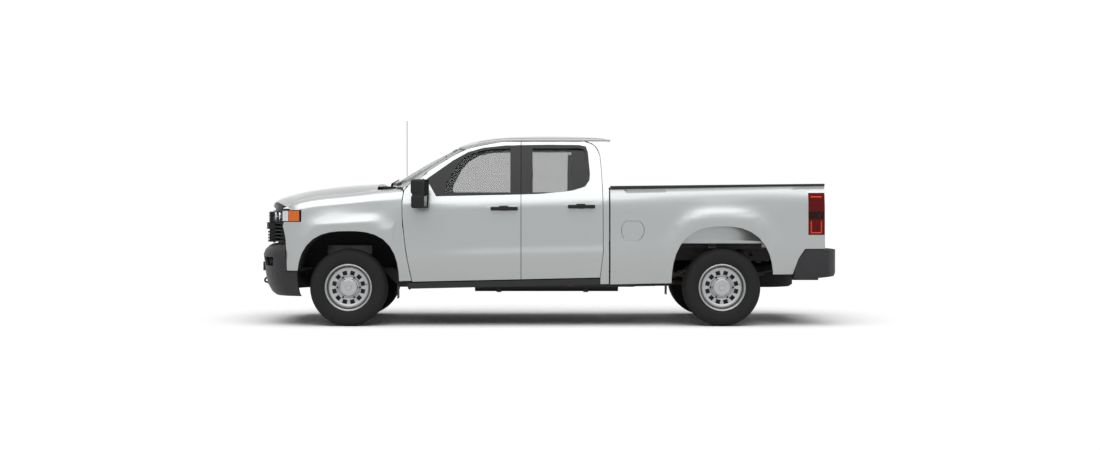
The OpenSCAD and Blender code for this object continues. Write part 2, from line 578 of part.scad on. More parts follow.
module rail_caps() {
    ys = [-bed_half_w - 47, -bed_half_w - 39, -bed_half_w - 5, -bed_half_w + 2];
    function crown(i, x) = i == 0 || i == 3 ? 12 : mix(29, 19, (x - bed_x) / (gate_x - bed_x));
    color("black") both() shell(
        [for (i = [0:3]) [for (x = [bed_x, gate_x]) [x, ys[i], rail_z(x) + crown(i, x)]]],
        [for (i = [0:3]) [for (x = [bed_x, gate_x]) [x, ys[i], rail_z(x) + seat_gap]]]);
}
fuel_pin = [fuel_c[0] - 134, -(body_half_w - 34)];
module fuel_door() {
    xs = between(fuel_c[0] - 120, fuel_c[0] + 120, 4);
    zs = between(fuel_c[1] - 120, fuel_c[1] + 120, 4);
    color("silver") {
        intersection() {
            shell([for (z = zs) [for (x = xs) [x, -side_w(x, z), z]]],
                [for (z = zs) [for (x = xs) [x, -side_w(x, z) + 8, z]]]);
            translate([0, -900, 0]) rotate([90, 0, 0]) linear_extrude(300) fuel_shape(0);
        }
        translate([fuel_pin[0], fuel_pin[1], fuel_c[1]]) difference() {
            union() {
                cylinder(r = 7, h = 28, center = true);
                linear_z(-14, 28) polygon([[-5, 0], [5, 0], [5, 25], [27, 25], [27, -13], [60, -13], [60, -5], [36, -5],
                    [36, 34], [-5, 34]]);
            }
            cylinder(r = 3.05, h = 100, center = true);
        }
    }
}
module bed_floor() {
    step = 2 * wheelhouse_y / rib_count;
    low = floor_z - rib_h;
    function house(grow) = [for (p = arch_outline(rear_axle_x, [arch_rear[0] - 20, arch_rear[1], 2.6], grow, 16)) p];
    inner = bed_half_w - seat_gap;
    color("dimgray") {
        box(bed_x + 32, gate_x - gate_t - 14, -wheelhouse_y + 1, wheelhouse_y - 1, low - 6, low);
        both() {
            box(bed_x + 32, rear_axle_x - 400, -inner, -wheelhouse_y, low - 6, low);
            box(rear_axle_x + 400, gate_x - 194, -inner, -wheelhouse_y, low - 6, low);
            box(gate_x - 195, gate_x - gate_t - 14, -gate_half_w - shut_gap + 1, -wheelhouse_y, low - 6, low);
            difference() {
                side_prism([for (p = house(0.94)) [p[0], max(p[1], low - 6)]], -inner, -wheelhouse_y);
                side_prism([for (p = house(0.925)) [p[0], p[1] < low - 20 ? 300 : p[1]]], -inner - 1,
                    -wheelhouse_y - 10);
            }
        }
        for (i = [0:rib_count - 1]) let (y = -wheelhouse_y + (i + 0.5) * step)
            front_prism([[y - step * 0.36, low - 1], [y - step * 0.28, floor_z], [y + step * 0.28, floor_z],
                [y + step * 0.36, low - 1]], bed_x + 60, gate_x - gate_t - 40);
        box(bed_x + 32, bed_x + 50, -inner, inner, low - 1, rail_z(bed_x) - 1);
        for (x = [bed_x + 150, rear_axle_x - 520, rear_axle_x - 60, rear_axle_x + 485, gate_x - 240])
            box(x - 40, x + 40, -620, 620, floor_z - rib_h - 60, low - 5);
    }
}
module tailgate() {
    x0 = gate_x - gate_t;
    color("silver") {
        difference() {
            side_prism([[x0, floor_z + 6], [gate_x - 6, floor_z + 6], [gate_x, floor_z + 40], [gate_x, gate_top - 80],
                [gate_x + 14, gate_top - 58], [gate_x + 16, gate_top - 20], [gate_x + 6, gate_top], [x0, gate_top]],
                -gate_half_w, gate_half_w);
            front_prism([[-655, floor_z + 80], [655, floor_z + 80], [640, gate_top - 120], [-640, gate_top - 120]], gate_x - 10, gate_x + 30);
            front_prism([[-600, floor_z + 60], [600, floor_z + 60], [600, 1340], [-600, 1340]], x0 - 10, x0 + 12);
        }
        front_prism([[-610, floor_z + 110], [610, floor_z + 110], [600, gate_top - 150], [-600, gate_top - 150]], gate_x - 14, gate_x - 4);
        both() rotate([90, 0, 0]) translate([gate_hinge[0], gate_hinge[1], gate_half_w - 20])
            cylinder(r = gate_pin_r, h = 38);
    }
}
gate_hinge = [gate_x - 26, floor_z + 20];

// Wheels, built for the left side with their outer face to negative y
module at_wheel(x, side) {
    translate([x, side * wheel_y, wheel_z]) if (side < 0) children(); else mirror([0, 1, 0]) children();
}
module rim() {
    difference() {
        rotate([90, 0, 0]) rotate_extrude() polygon([[0, 88], [cap_r - 10, 86], [cap_r, 78], [cap_r, 58],
            [100, 52], [116, 60], [122, 66], [172, 66], [184, 72], [196, 72], [208, 60], [rim_r - 20, 40],
            [rim_r - 20, 95], [rim_r - 15, 104], [rim_r - 8, rim_w / 2], [rim_r, rim_w / 2 - 4], [rim_r, -rim_w / 2 + 4],
            [rim_r - 8, -rim_w / 2], [rim_r - 14, -rim_w / 2], [rim_r - 14, 30], [200, 50], [190, 62], [118, 56], [108, 40],
            [0, 40]]);
        for (i = [0:vent_count - 1]) rotate([0, 360 * (i + 0.5) / vent_count, 0])
            translate([147 - vent_h / 2, -90, -23]) cube([vent_h, 60, 46]);
        rotate([90, 0, 0]) translate([0, 0, 39]) cylinder(r = hub_r, h = 20);
    }
    rotate([90, 0, 0]) translate([0, 0, -2]) difference() {
        cylinder(r = brake_r, h = 26, $fn = 96);
        translate([0, 0, -1]) cylinder(r = hub_r, h = 28);
    }
    rotate([90, 0, 0]) translate([0, 0, 23]) difference() {
        cylinder(r = 95, h = 18);
        translate([0, 0, -1]) cylinder(r = hub_r, h = 20);
    }
}
module tyre() {
    w = tyre_w / 2;
    rotate([90, 0, 0]) rotate_extrude() polygon([[rim_r + seat_gap, -100], [250, -112], [275, -w + 5],
        [305, -w], [335, -w + 3], [360, -w + 9], [376, -w + 20], [384, -w + 34], [tyre_r, -w + 60],
        [tyre_r, w - 60], [384, w - 34], [376, w - 20], [360, w - 9], [335, w - 3], [305, w], [275, w - 5],
        [250, 112], [rim_r + seat_gap, 100]]);
}
module rim_front_left() { color("gray") at_wheel(front_axle_x, -1) rim(); }
module rim_front_right() { color("gray") at_wheel(front_axle_x, 1) rim(); }
module rim_rear_left() { color("gray") at_wheel(rear_axle_x, -1) rim(); }
module rim_rear_right() { color("gray") at_wheel(rear_axle_x, 1) rim(); }
module tyre_front_left() { color("black") at_wheel(front_axle_x, -1) tyre(); }
module tyre_front_right() { color("black") at_wheel(front_axle_x, 1) tyre(); }
module tyre_rear_left() { color("black") at_wheel(rear_axle_x, -1) tyre(); }
module tyre_rear_right() { color("black") at_wheel(rear_axle_x, 1) tyre(); }

// Steering knuckle with its spindle and brake caliper; y grows inwards from the tyre's centre
arm_x = 115;
ball_r = 12;
module knuckle() {
    rotate([90, 0, 0]) translate([0, 0, -50]) cylinder(r = hub_r - 0.05, h = 105);
    box(-45, 45, 12, 92, -120, 150);
    box(20, arm_x + 20, 50, 90, -75, -45);
    translate([0, kingpin_in, -146]) cylinder(r = ball_r, h = 330);
    difference() {
        box(-185, -114, -36, 45, -58, 58);
        rotate([90, 0, 0]) translate([0, 0, -7]) cylinder(r = brake_r + 5, h = 36, $fn = 96);
    }
    box(-120, -40, 14, 45, -40, 40);
}
module knuckle_left() { color("dimgray") at_wheel(front_axle_x, -1) knuckle(); }
module knuckle_right() { color("dimgray") at_wheel(front_axle_x, 1) knuckle(); }
rack_x = front_axle_x + arm_x;
rack_z = wheel_z - 96;
module steering_rack() {
    color("gray") {
        rod([rack_x, -430, rack_z], [rack_x, 430, rack_z], 14);
        both() rod([rack_x, -429, rack_z], [rack_x, -wheel_y + kingpin_in + 30, rack_z], 11);
    }
}
module front_suspension() {
    y0 = -rail_y - rail_w - seat_gap;
    color("dimgray") {
        both() {
            // lower arm, upper arm and the spring leg
            difference() {
                linear_z(wheel_z - 150, 24) polygon([[front_axle_x - 32, -830], [front_axle_x + 32, -830],
                    [front_axle_x + 80, -660], [front_axle_x + 220, y0], [front_axle_x + 150, y0],
                    [front_axle_x + 10, -640], [front_axle_x - 30, -640], [front_axle_x - 155, y0],
                    [front_axle_x - 225, y0], [front_axle_x - 90, -660]]);
                translate([front_axle_x, -wheel_y + kingpin_in, wheel_z - 160]) cylinder(r = ball_r + 0.05, h = 60);
            }
            difference() {
                linear_z(wheel_z + 156, 20) polygon([[front_axle_x - 28, -826], [front_axle_x + 28, -826],
                    [front_axle_x + 110, y0], [front_axle_x + 60, y0], [front_axle_x, -700],
                    [front_axle_x - 60, y0], [front_axle_x - 110, y0]]);
                translate([front_axle_x, -wheel_y + kingpin_in, wheel_z + 140]) cylinder(r = ball_r + 0.05, h = 60);
            }
            rod([front_axle_x - 20, -655, wheel_z - 128], [front_axle_x - 20, -600, 700], 20);
            rod([front_axle_x - 20, -645, 330], [front_axle_x - 20, -592, 760], 48);
        }
        // housing of the steering rack on its brackets
        difference() {
            union() {
                rotate([90, 0, 0]) translate([rack_x, rack_z, -330]) cylinder(r = 28, h = 660);
                both() box(rack_x + 20, front_axle_x + 150 - seat_gap, -300, -260, rack_z - 14, rack_z + 14);
            }
            rotate([90, 0, 0]) translate([rack_x, rack_z, -400]) cylinder(r = 14.05, h = 800);
        }
    }
}
module linear_z(z, h) {
    translate([0, 0, z]) linear_extrude(h) children();
}
module rear_axle() {
    color("dimgray") {
        rotate([90, 0, 0]) translate([rear_axle_x, wheel_z, -(wheel_y + 36)])
            cylinder(r = hub_r - 0.05, h = 2 * wheel_y + 72);
        rotate([90, 0, 0]) translate([rear_axle_x, wheel_z, -wheel_y + 60])
            cylinder(r = 48, h = 2 * wheel_y - 120);
        translate([rear_axle_x, 0, wheel_z]) rotate([0, -90, 0]) rotate_extrude()
            polygon([[0, -110], [70, -108], [120, -80], [150, -30], [150, 40], [110, 75], [60, 90], [60, 250], [0, 250]]);
    }
}
module leaf_springs() {
    y0 = -rail_y - rail_w - 82;
    y1 = -rail_y - rail_w - seat_gap;
    z = wheel_z + 48 + seat_gap;
    function leaf(l, drop, t) = concat([for (i = [-4:4]) [rear_axle_x + l * i / 4, z + t + drop * i * i / 16]],
        [for (i = [4:-1:-4]) [rear_axle_x + l * i / 4, z + t + 12 + drop * i * i / 16]]);
    color("dimgray") both() {
        side_prism(leaf(700, 112, 26), y0, y0 + 65);
        side_prism(leaf(480, 46, 13), y0, y0 + 65);
        side_prism(leaf(260, 10, 0), y0, y0 + 65);
        box(rear_axle_x - 725, rear_axle_x - 675, y0, y1, z + 130, 640);
        box(rear_axle_x + 675, rear_axle_x + 725, y0, y1, z + 130, 700);
        rod([rear_axle_x + 80, y1 - 34, 470], [rear_axle_x + 260, y1 - 34, 750], 28);
        box(rear_axle_x + 230, rear_axle_x + 290, y1 - 34, y1, 700, 740);
    }
}
module frame_rails() {
    low = 520;
    side = [[front_axle_x - 800, low], [front_axle_x - 560, low], [front_axle_x - 380, low + 60],
        [front_axle_x + 270, low + 60], [front_axle_x + 480, rail_low], [rear_axle_x - 850, rail_low],
        [rear_axle_x - 420, 646], [rear_axle_x + 700, 646], [gate_x - 60, 620]];
    up = [for (i = [len(side) - 1:-1:0]) side[i] + [0, rail_h]];
    color("dimgray") both() {
        difference() {
            side_prism(concat(side, up), -rail_y - rail_w, -rail_y);
            // channel section, open to the inside, and its holes
            side_prism(concat([for (p = side) p + [0, 9]], [for (p = up) p - [0, 9]]), -rail_y - rail_w + 9, -rail_y + 1);
            for (x = [rear_axle_x - 420, rear_axle_x + 358])
                rotate([90, 0, 0]) translate([x, 710, rail_y - 10]) cylinder(r = 24, h = rail_w + 20);
        }
        for (x = [door_x + 180, door_x + 1100, cab_x - 120])
            translate([x, -rail_y - rail_w / 2, rail_low + rail_h - 1]) cylinder(r = 34, h = cab_floor_z - rail_low - rail_h + 1 - seat_gap);
        box(gate_x - 62, gate_x + 40, -rail_y - rail_w, -rail_y - 20, 630, 730);
        // bracket down to the lower arm's two pivots and the one for the upper arm
        for (x = [-190, 185]) box(front_axle_x + x - 35, front_axle_x + x + 35, -rail_y - rail_w, -rail_y - 1, wheel_z - 160, 590);
    }
}
module crossmembers() {
    y = rail_y - seat_gap;
    pin_x = tail_x - 110;
    color("dimgray") {
        for (p = [[front_axle_x - 690, 545, 625], [front_axle_x + 100, 590, 630], [front_axle_x + 1000, rail_low + 20, 460],
            [rear_axle_x - 960, 470, 498], [rear_axle_x - 350, 670, 750], [rear_axle_x + 485, 680, 760]])
            box(p[0] - 40, p[0] + 40, -y, y, p[1], p[2]);
        for (x = [-190, 185]) box(front_axle_x + x - 35, front_axle_x + x + 35, -y, y, wheel_z - 150, wheel_z - 90);
        // hitch receiver under its cross tube
        difference() {
            union() {
                box(gate_x - 150, gate_x - 62, -620, 620, 470, 560);
                box(gate_x - 170, tail_x - 60, -38, 38, 420, 496);
                both() box(gate_x - 150, gate_x - 70, -rail_y - rail_w, -rail_y - 10, 559, 620 - 0.7);
            }
            box(tail_x - 260, tail_x, -25.5, 25.5, 432.5, 483.5);
            translate([pin_x, 60, 458]) rotate([90, 0, 0]) cylinder(r = pin_bore_r, h = 120, $fn = 32);
        }
    }
}
pin_bore_r = 8;
module powertrain() {
    color("gray") {
        box(front_axle_x - 430, front_axle_x + 450, -270, 270, 630 + seat_gap, 1150);
        box(front_axle_x + 449, front_axle_x + 1090, -125, 125, 460 + seat_gap, 670);
    }
}
module driveshaft() {
    x0 = front_axle_x + 1090;
    x1 = rear_axle_x - 250;
    color("gray") {
        translate([x0 + seat_gap, 0, 505]) rotate([0, 90, 0]) cylinder(r = 45, h = 50);
        rod([x0 + 45, 0, 505], [x1 - 45, 0, wheel_z], 26);
        translate([x1 - 50 - seat_gap, 0, wheel_z]) rotate([0, 90, 0]) cylinder(r = 45, h = 50);
    }
}
module exhaust() {
    engine_end = front_axle_x + 450 + seat_gap + 25;
    points = [[engine_end, 215, 660], [engine_end, 215, 501], [front_axle_x + 1120, 240, 501],
        [front_axle_x + 1700, 240, 440], [rear_axle_x - 900, 240, 420]];
    tail = [[rear_axle_x - 420, 240, 440], [rear_axle_x - 180, 250, 540], [rear_axle_x + 150, 250, 590],
        [rear_axle_x + 330, 640, 570], [rear_axle_x + 660, 660, 470], [rear_axle_x + 780, 790, 430]];
    color("gray") {
        for (i = [0:len(points) - 2]) pipe(points[i], points[i + 1], 25 - 0.7 * (i % 2));
        rod([rear_axle_x - 901, 240, 425], [rear_axle_x - 420, 240, 435], 88);
        for (i = [0:len(tail) - 2]) pipe(tail[i], tail[i + 1], 24.6 - 0.7 * (i % 2));
    }
}
// A length of pipe that runs a little past its bends
module pipe(a, b, r) {
    u = (b - a) / norm(b - a) * 8;
    rod(a - u, b + u, r);
}
module fuel_tank() {
    x0 = front_axle_x + 1250;
    color("dimgray") {
        front_prism([[-380, 350], [-360, 320], [-110, 320], [-90, 350], [-90, 480], [-110, 500], [-370, 500],
            [-380, 490]], x0, rear_axle_x - 1010);
        for (x = [x0 + 250, x0 + 1150]) box(x - 25, x + 25, -399.7, -60, 312, 321);
        for (x = [x0 + 250, x0 + 1150]) box(x - 25, x + 25, -399.7, -392, 312, 400);
    }
}
module radiator() {
    x = front_axle_x - 690;
    post_x = mix(hood_front(0), hood_back_x, 0.15);
    color("gray") {
        box(x - 30, x + 30, -380, 380, 625 + seat_gap, 1110);
        // support panel that carries the fenders and the hood latch
        box(x - 20, x + 20, -500, 500, 1090, 1140);
        box(x + 19, x + 100, -500, 500, 1100, 1130);
        both() box(x + 70, x + 100, -500, -460, 990, 1130);
        box(x + 70, x + 100, -(side_w(x + 70, 1005) - panel_t - 0.6), side_w(x + 70, 1005) - panel_t - 0.6, 990, 1020);
        box(post_x - 6, post_x + 6, -30, 30, 1130, hood_z(post_x - 6, 0) - panel_t - 1.2);
    }
}
module spare_wheel() {
    w = tyre_w / 2;
    color("black") translate([rear_axle_x + 485, 0, 485]) {
        rotate_extrude() polygon([[40, -20], [180, -20], [205, -70], [rim_r, -100], [275, -w + 5], [335, -w + 3],
            [365, -w + 25], [365, w - 25], [335, w - 3], [275, w - 5], [rim_r, 100], [205, 70], [180, 20], [40, 20]]);
        cylinder(r = 41, h = 194.7);
    }
}
module wheel_liners() {
    color("black") both() difference() {
        side_prism(arch_outline(front_axle_x, arch_front, 0.9992, 20), -body_half_w + 15, -520);
        side_prism(arch_outline(front_axle_x, arch_front, 0.985, 20), -body_half_w + 10, -526);
        box(front_axle_x - 600, front_axle_x + 600, -body_half_w, -400, 50, 575);
        // window for the suspension
        box(front_axle_x - 260, front_axle_x + 200, -530, -400, 200, 800);
    }
}
module mud_flaps() {
    color("black") both() {
        side_prism([[door_x - 52, 275], [door_x - 44, 275], [door_x - 44, 560], [door_x - 32, 574], [door_x - 44, 574], [door_x - 52, 562]],
            -body_half_w + 55, -745);
        side_prism([[rear_axle_x - 560, 315], [rear_axle_x - 552, 315], [rear_axle_x - 548, 560],
            [rear_axle_x - 556, 560]], -body_half_w + 69, -745);
    }
}
module grille() {
    angles = between(-34, 34, 12);
    module strip(z0, z1, depth, t) {
        shell([for (z = [z0, z1]) [for (a = angles) nose_pt(a, depth, body_half_w + 10, 3, z)]],
            [for (z = [z0, z1]) [for (a = angles) nose_pt(a, depth - t, body_half_w + 10, 3, z)]]);
    }
    color("black") {
        strip(bar_z, bar_z + bar_h, 604, 80);
        strip(830, 1150, 536, 10);
        for (i = [0:slat_count - 1]) {
            z = mix(bar_z + bar_h + 14, 1150, i / slat_count);
            strip(z, z + 13, 582, 50);
            zz = mix(840, bar_z - 8, i / slat_count);
            strip(zz, zz + 15, 592, 60);
        }
        both() box(-2830, front_axle_x - 720 - seat_gap, -320, -290, 900, 930);
    }
}
bar_z = 970;
module headlamps() {
    angles = between(33, 80, 9);
    zs = [lamp_z0, lamp_z1];
    color("white") both()
        intersection() {
            shell([for (z = zs) [for (a = angles) nose_pt(a, 560, body_half_w - 15, 3, z)]],
                [for (z = zs) [for (a = angles) nose_pt(a, 490, body_half_w - 85, 3, z)]]);
            box(-3000, front_axle_x - 470 - seat_gap, -body_half_w - 100, -body_half_w + 306, 900, 1300);
        }
}
module front_bumper() {
    zs = [549, 640, 712, 760, 800, 815];
    lows = [300, 330, 400, 480, 550];
    function setback(z) = lookup(z, [[300, 130], [330, 90], [400, 50], [480, 30], [549, 20], [640, 10], [712, 0],
        [760, 20], [800, 60], [815, 90]]);
    module skirt(rows, reach) {
        angles = concat([-reach], between(-62, 62, 16), [reach]);
        shell([for (z = rows) [for (a = angles) nose_pt(a, 640 - setback(z), 1010 - 0.4 * setback(z), 3, z)]],
            [for (z = rows) [for (a = angles) nose_pt(a, 618 - setback(z), 988 - 0.4 * setback(z), 3, z)]]);
    }
    color("black") {
        difference() {
            union() {
                skirt(zs, 69.5);
                skirt(lows, 79);
            }
            // the wing of the bumper stops short of the fender
            side_prism([[front_axle_x - 620, 553], [front_axle_x - 631, 714], [front_axle_x - 638, 870],
                [front_axle_x - 300, 870], [front_axle_x - 300, 553]], -1100, 1100);
            front_prism([[-430, 400], [430, 400], [470, 520], [-470, 520]], -3000, -2600);
            both() front_prism([[-840, 600], [-640, 600], [-620, 690], [-860, 690]], -3000, -2600);
        }
        both() box(front_axle_x - 930, front_axle_x - 800 - seat_gap, -rail_y - rail_w, -rail_y, 540, 630);
    }
}
module rear_bumper() {
    x = gate_x;
    w = body_half_w - 16;
    color("black") difference() {
        intersection() {
            side_prism([[x - 314, 486], [x - 240, 466], [x + 100, 500], [x + 155, 548], [x + 140, 566], [x + 155, 706],
                [x + 146, 765], [x - 192, 771], [x - 204, 756], [x - 263, 677], [x - 301, 570]], -body_half_w, body_half_w);
            linear_z(400, 400) polygon([[x - 330, -w], [x - 60, -w], [x + 40, 24 - w], [x + 100, 84 - w], [x + 138, 204 - w],
                [tail_x, 424 - w], [tail_x, w - 424], [x + 138, w - 204], [x + 100, w - 84], [x + 40, w - 24],
                [x - 60, w], [x - 330, w]]);
        }
        linear_z(390, 420) polygon([[x - 340, 59 - w], [x - 60, 59 - w], [x + 10, 94 - w], [x + 41, 164 - w],
            [x + 41, w - 164], [x + 10, w - 94], [x - 60, w - 59], [x - 340, w - 59]]);
        box(gate_x + 30, tail_x + 10, -60, 60, 400, 500.5);
        box(tail_x - 16, tail_x + 10, -180, 180, 590, 720);
    }
}
module tail_lamps() {
    x0 = gate_x - 168 + seat_gap;
    xs = [x0, gate_x - 80, gate_x - 20, gate_x];
    zs = between(lamp_rear_z0 + seat_gap, lamp_rear_z1 - seat_gap, 4);
    color("darkred") both()
        shell([for (z = zs) [for (x = xs) [x, -side_w(x, z) + (x == gate_x ? 10 : 0), z]]],
            [for (z = zs) [for (x = xs) [x, -gate_half_w - shut_gap - 20 - seat_gap, z]]]);
}
module wipers() {
    color("black") for (u = [-0.78, 0.02]) {
        a = windshield_at(u, 0.02, -14) - [26, 0, 8];
        b = windshield_at(u + 0.62, 0.1, -14);
        rod(a, b, 7);
        translate([a[0], a[1], 1398.3]) cylinder(r = 12, h = 26);
    }
}
module antenna() {
    x = door_x - 80;
    y = body_half_w - 150;
    color("black") {
        rod([x, y, 1390], [x, y, 2146], 3);
        translate([x, y, seam_yz(x, 2) - 2]) cylinder(r = 16, h = 24);
    }
}

frame_rails();
crossmembers();
powertrain();
driveshaft();
exhaust();
fuel_tank();
radiator();
front_suspension();
rear_axle();
leaf_springs();
spare_wheel();
cab_floor();
firewall();
cab_back();
roof();
pillars();
cab_glass();
front_fenders();
wheel_liners();
mud_flaps();
grille();
headlamps();
front_bumper();
bed_floor();
bed_sides();
rail_caps();
rear_bumper();
tail_lamps();
dashboard();
seats();
wipers();
antenna();
hood();
front_door_left();
front_door_right();
rear_door_left();
rear_door_right();
front_glass_left();
front_glass_right();
rear_glass_left();
rear_glass_right();
mirror_left();
mirror_right();
tailgate();
fuel_door();
rim_front_left();
rim_front_right();
rim_rear_left();
rim_rear_right();
tyre_front_left();
tyre_front_right();
tyre_rear_left();
tyre_rear_right();
knuckle_left();
knuckle_right();
steering_rack();
steering_wheel();
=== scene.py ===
# %% [markdown]
# # A silver pickup truck, dressed for its picture
# The CAD model already has every panel, frame rail and wheel at its true size. This script
# opens it as a fixed frame and gives it what a camera sees: smooth sheet metal, paint, glass,
# lamps, tread and trim. Each step says what the real piece is and why it is made this way.

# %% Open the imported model
import json
import math
import bmesh
import bpy
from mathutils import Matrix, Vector


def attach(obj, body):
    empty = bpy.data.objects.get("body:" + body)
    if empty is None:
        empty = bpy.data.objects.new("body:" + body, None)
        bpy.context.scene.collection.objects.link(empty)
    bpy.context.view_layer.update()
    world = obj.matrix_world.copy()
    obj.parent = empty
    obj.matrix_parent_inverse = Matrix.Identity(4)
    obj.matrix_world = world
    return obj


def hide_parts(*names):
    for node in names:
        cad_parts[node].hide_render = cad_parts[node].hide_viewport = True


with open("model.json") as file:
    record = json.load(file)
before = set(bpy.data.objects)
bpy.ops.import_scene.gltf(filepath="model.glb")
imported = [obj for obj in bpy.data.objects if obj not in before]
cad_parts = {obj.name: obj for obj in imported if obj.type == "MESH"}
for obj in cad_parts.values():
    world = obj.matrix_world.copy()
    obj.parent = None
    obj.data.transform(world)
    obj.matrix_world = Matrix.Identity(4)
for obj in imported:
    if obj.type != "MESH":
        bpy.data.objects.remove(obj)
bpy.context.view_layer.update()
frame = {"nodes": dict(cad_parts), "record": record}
BODY_OF = {node: body for body, nodes in frame["record"]["behaviour"]["bodies"].items() for node in nodes}

# %% [markdown]
# ## Sizes
# Metres, in the truck's own frame: x runs to the tail, y to the right side, z up. The truck
# faces -x, so the driver's side, which the camera sees, is at negative y. These numbers are the
# ones the CAD source is built from, so the trim made here lands on the panels.

# %% Sizes that the trim shares with the panels
FRONT_AXLE, REAR_AXLE = -1.990, 1.755
WHEEL_Y, WHEEL_Z = 0.870, 0.388
TYRE_R, TYRE_HALF_W, RIM_R = 0.388, 0.1275, 0.237
NOSE_START = FRONT_AXLE - 0.310
DOOR_X, PILLAR_X, CORNER_X, CAB_X = -1.450, -0.263, 0.560, 0.620
BED_X, GATE_X, TAIL_X = 0.636, 2.785, 2.940
RAKE, BELT_Z, SEAM_Z = 0.022, 1.312, 1.861
SIDES = (("left", -1), ("right", 1))
CORNERS = {"front_left": (FRONT_AXLE, -1), "front_right": (FRONT_AXLE, 1),
           "rear_left": (REAR_AXLE, -1), "rear_right": (REAR_AXLE, 1)}


def mix(a, b, t):
    """From a at t = 0 to b at t = 1."""
    return a + (b - a) * t


def lookup(x, table):
    """Straight lines between the points of a table, as the CAD source uses."""
    if x <= table[0][0]:
        return table[0][1]
    for (x0, y0), (x1, y1) in zip(table, table[1:]):
        if x <= x1:
            return mix(y0, y1, (x - x0) / (x1 - x0))
    return table[-1][1]


def on_nose(angle, depth, half_width, z, power=3.0):
    """A point on the rounded plan of the nose, angle in degrees from the middle to the side."""
    c, s = math.cos(math.radians(angle)), math.sin(math.radians(angle))
    return Vector((NOSE_START - depth * abs(c) ** (2 / power),
                   -math.copysign(half_width * abs(s) ** (2 / power), s), z))


print("wheelbase", REAR_AXLE - FRONT_AXLE)

# %% [markdown]
# ## A small language for finishes
# A finish is a node tree. Wiring one by hand takes many lines, so one class wraps a socket and
# lets ordinary Python arithmetic add the Math nodes, and another holds the material and adds any
# other node in one call. Patterns read Object coordinates, which stay fixed to the metal when a
# door swings or the camera moves.

# %% Socket arithmetic and the material class
class Wire:
    def __init__(self, tree, socket):
        self.tree, self.socket = tree, socket

    def _math(self, operation, *values):
        node = self.tree.nodes.new("ShaderNodeMath")
        node.operation = operation
        for slot_in, value in zip(node.inputs, values):
            if isinstance(value, Wire):
                self.tree.links.new(value.socket, slot_in)
            else:
                slot_in.default_value = value
        return Wire(self.tree, node.outputs[0])

    def __add__(self, other): return self._math("ADD", self, other)
    def __radd__(self, other): return self._math("ADD", other, self)
    def __sub__(self, other): return self._math("SUBTRACT", self, other)
    def __rsub__(self, other): return self._math("SUBTRACT", other, self)
    def __mul__(self, other): return self._math("MULTIPLY", self, other)
    def __rmul__(self, other): return self._math("MULTIPLY", other, self)
    def __gt__(self, other): return self._math("GREATER_THAN", self, other)
    def __lt__(self, other): return self._math("LESS_THAN", self, other)
    def power(self, other): return self._math("POWER", self, other)
    def wave(self): return self._math("SINE", self)


class Finish:
    """A material with its shader, and short ways to add nodes to it."""

    def __init__(self, name, color, roughness=0.5, metallic=0.0, **fixed):
        self.material = bpy.data.materials.new(name)
        self.material.use_nodes = True
        self.tree = self.material.node_tree
        self.shader = self.tree.nodes["Principled BSDF"]
        self.set("Base Color", (*color, 1.0))
        self.set("Roughness", roughness)
        self.set("Metallic", metallic)
        for socket, value in fixed.items():
            self.set(socket.replace("_", " "), value)
        self.place = self.node("TexCoord").outputs["Object"]

    def node(self, kind, settings=None, **inputs):
        made = self.tree.nodes.new("ShaderNode" + kind)
        for key, value in (settings or {}).items():
            setattr(made, key, value)
        for key, value in inputs.items():
            target = made.inputs[int(key[1:])] if key[0] == "i" and key[1:].isdigit() else made.inputs[key]
            self._feed(target, value)
        return made

    def _feed(self, target, value):
        if isinstance(value, Wire):
            value = value.socket
        if isinstance(value, bpy.types.NodeSocket):
            self.tree.links.new(value, target)
        else:
            target.default_value = value

    def set(self, socket, value):
        self._feed(self.shader.inputs[socket], value)

    def wire(self, socket):
        return Wire(self.tree, socket)

    def noise(self, scale, detail=3.0, stretch=None):
        place = self.place
        if stretch:
            place = self.node("Mapping", Vector=place, Scale=stretch).outputs[0]
        return self.wire(self.node("TexNoise", Vector=place, Scale=scale, Detail=detail).outputs["Fac"])

    def axis(self, index):
        return self.wire(self.node("SeparateXYZ", Vector=self.place).outputs[index])

    def blend(self, mask, a, b):
        """Colour a where the mask is 0, b where it is 1."""
        made = self.node("Mix", {"data_type": "RGBA"}, i0=mask, i6=(*a, 1.0) if isinstance(a, tuple) else a,
                         i7=(*b, 1.0) if isinstance(b, tuple) else b)
        return made.outputs[2]

    def bump(self, height, strength=0.2, distance=0.001):
        made = self.node("Bump", Height=height, Strength=strength, Distance=distance)
        self.set("Normal", made.outputs[0])


# %% [markdown]
# ## The finishes
# Silver metallic paint is fine aluminium flake in a grey base under clear lacquer: partly
# metallic, a little rough, with a sharp clear coat. Road film dulls it low down. The black parts
# are moulded with a grain, so they get a fine bump and no coat.

# %% Paint and lacquer
def silver_paint(name="silver_paint", shade=1.0):
    """Flake in a grey base under lacquer, with road film low down; a shade below 1 darkens the base as
    painted shade.
    """
    f = Finish(name, (0.5, 0.5, 0.5), roughness=0.34, metallic=0.62, Coat_Weight=0.55, Coat_Roughness=0.03)
    flake = f.noise(900.0, 1.0)
    film = f.noise(3.0, 4.0)
    low = f.wire(f.node("MapRange", Value=f.axis(2), i1=0.35, i2=0.85, i3=1.0, i4=0.0).outputs[0])
    base = f.blend(flake, (0.345 * shade, 0.36 * shade, 0.36 * shade),
                   (0.42 * shade, 0.435 * shade, 0.435 * shade))
    f.set("Base Color", f.blend(low * film * 0.35, base, (0.30, 0.29, 0.27)))
    f.set("Roughness", 0.30 + film * 0.06 + low * 0.08)
    return f.material


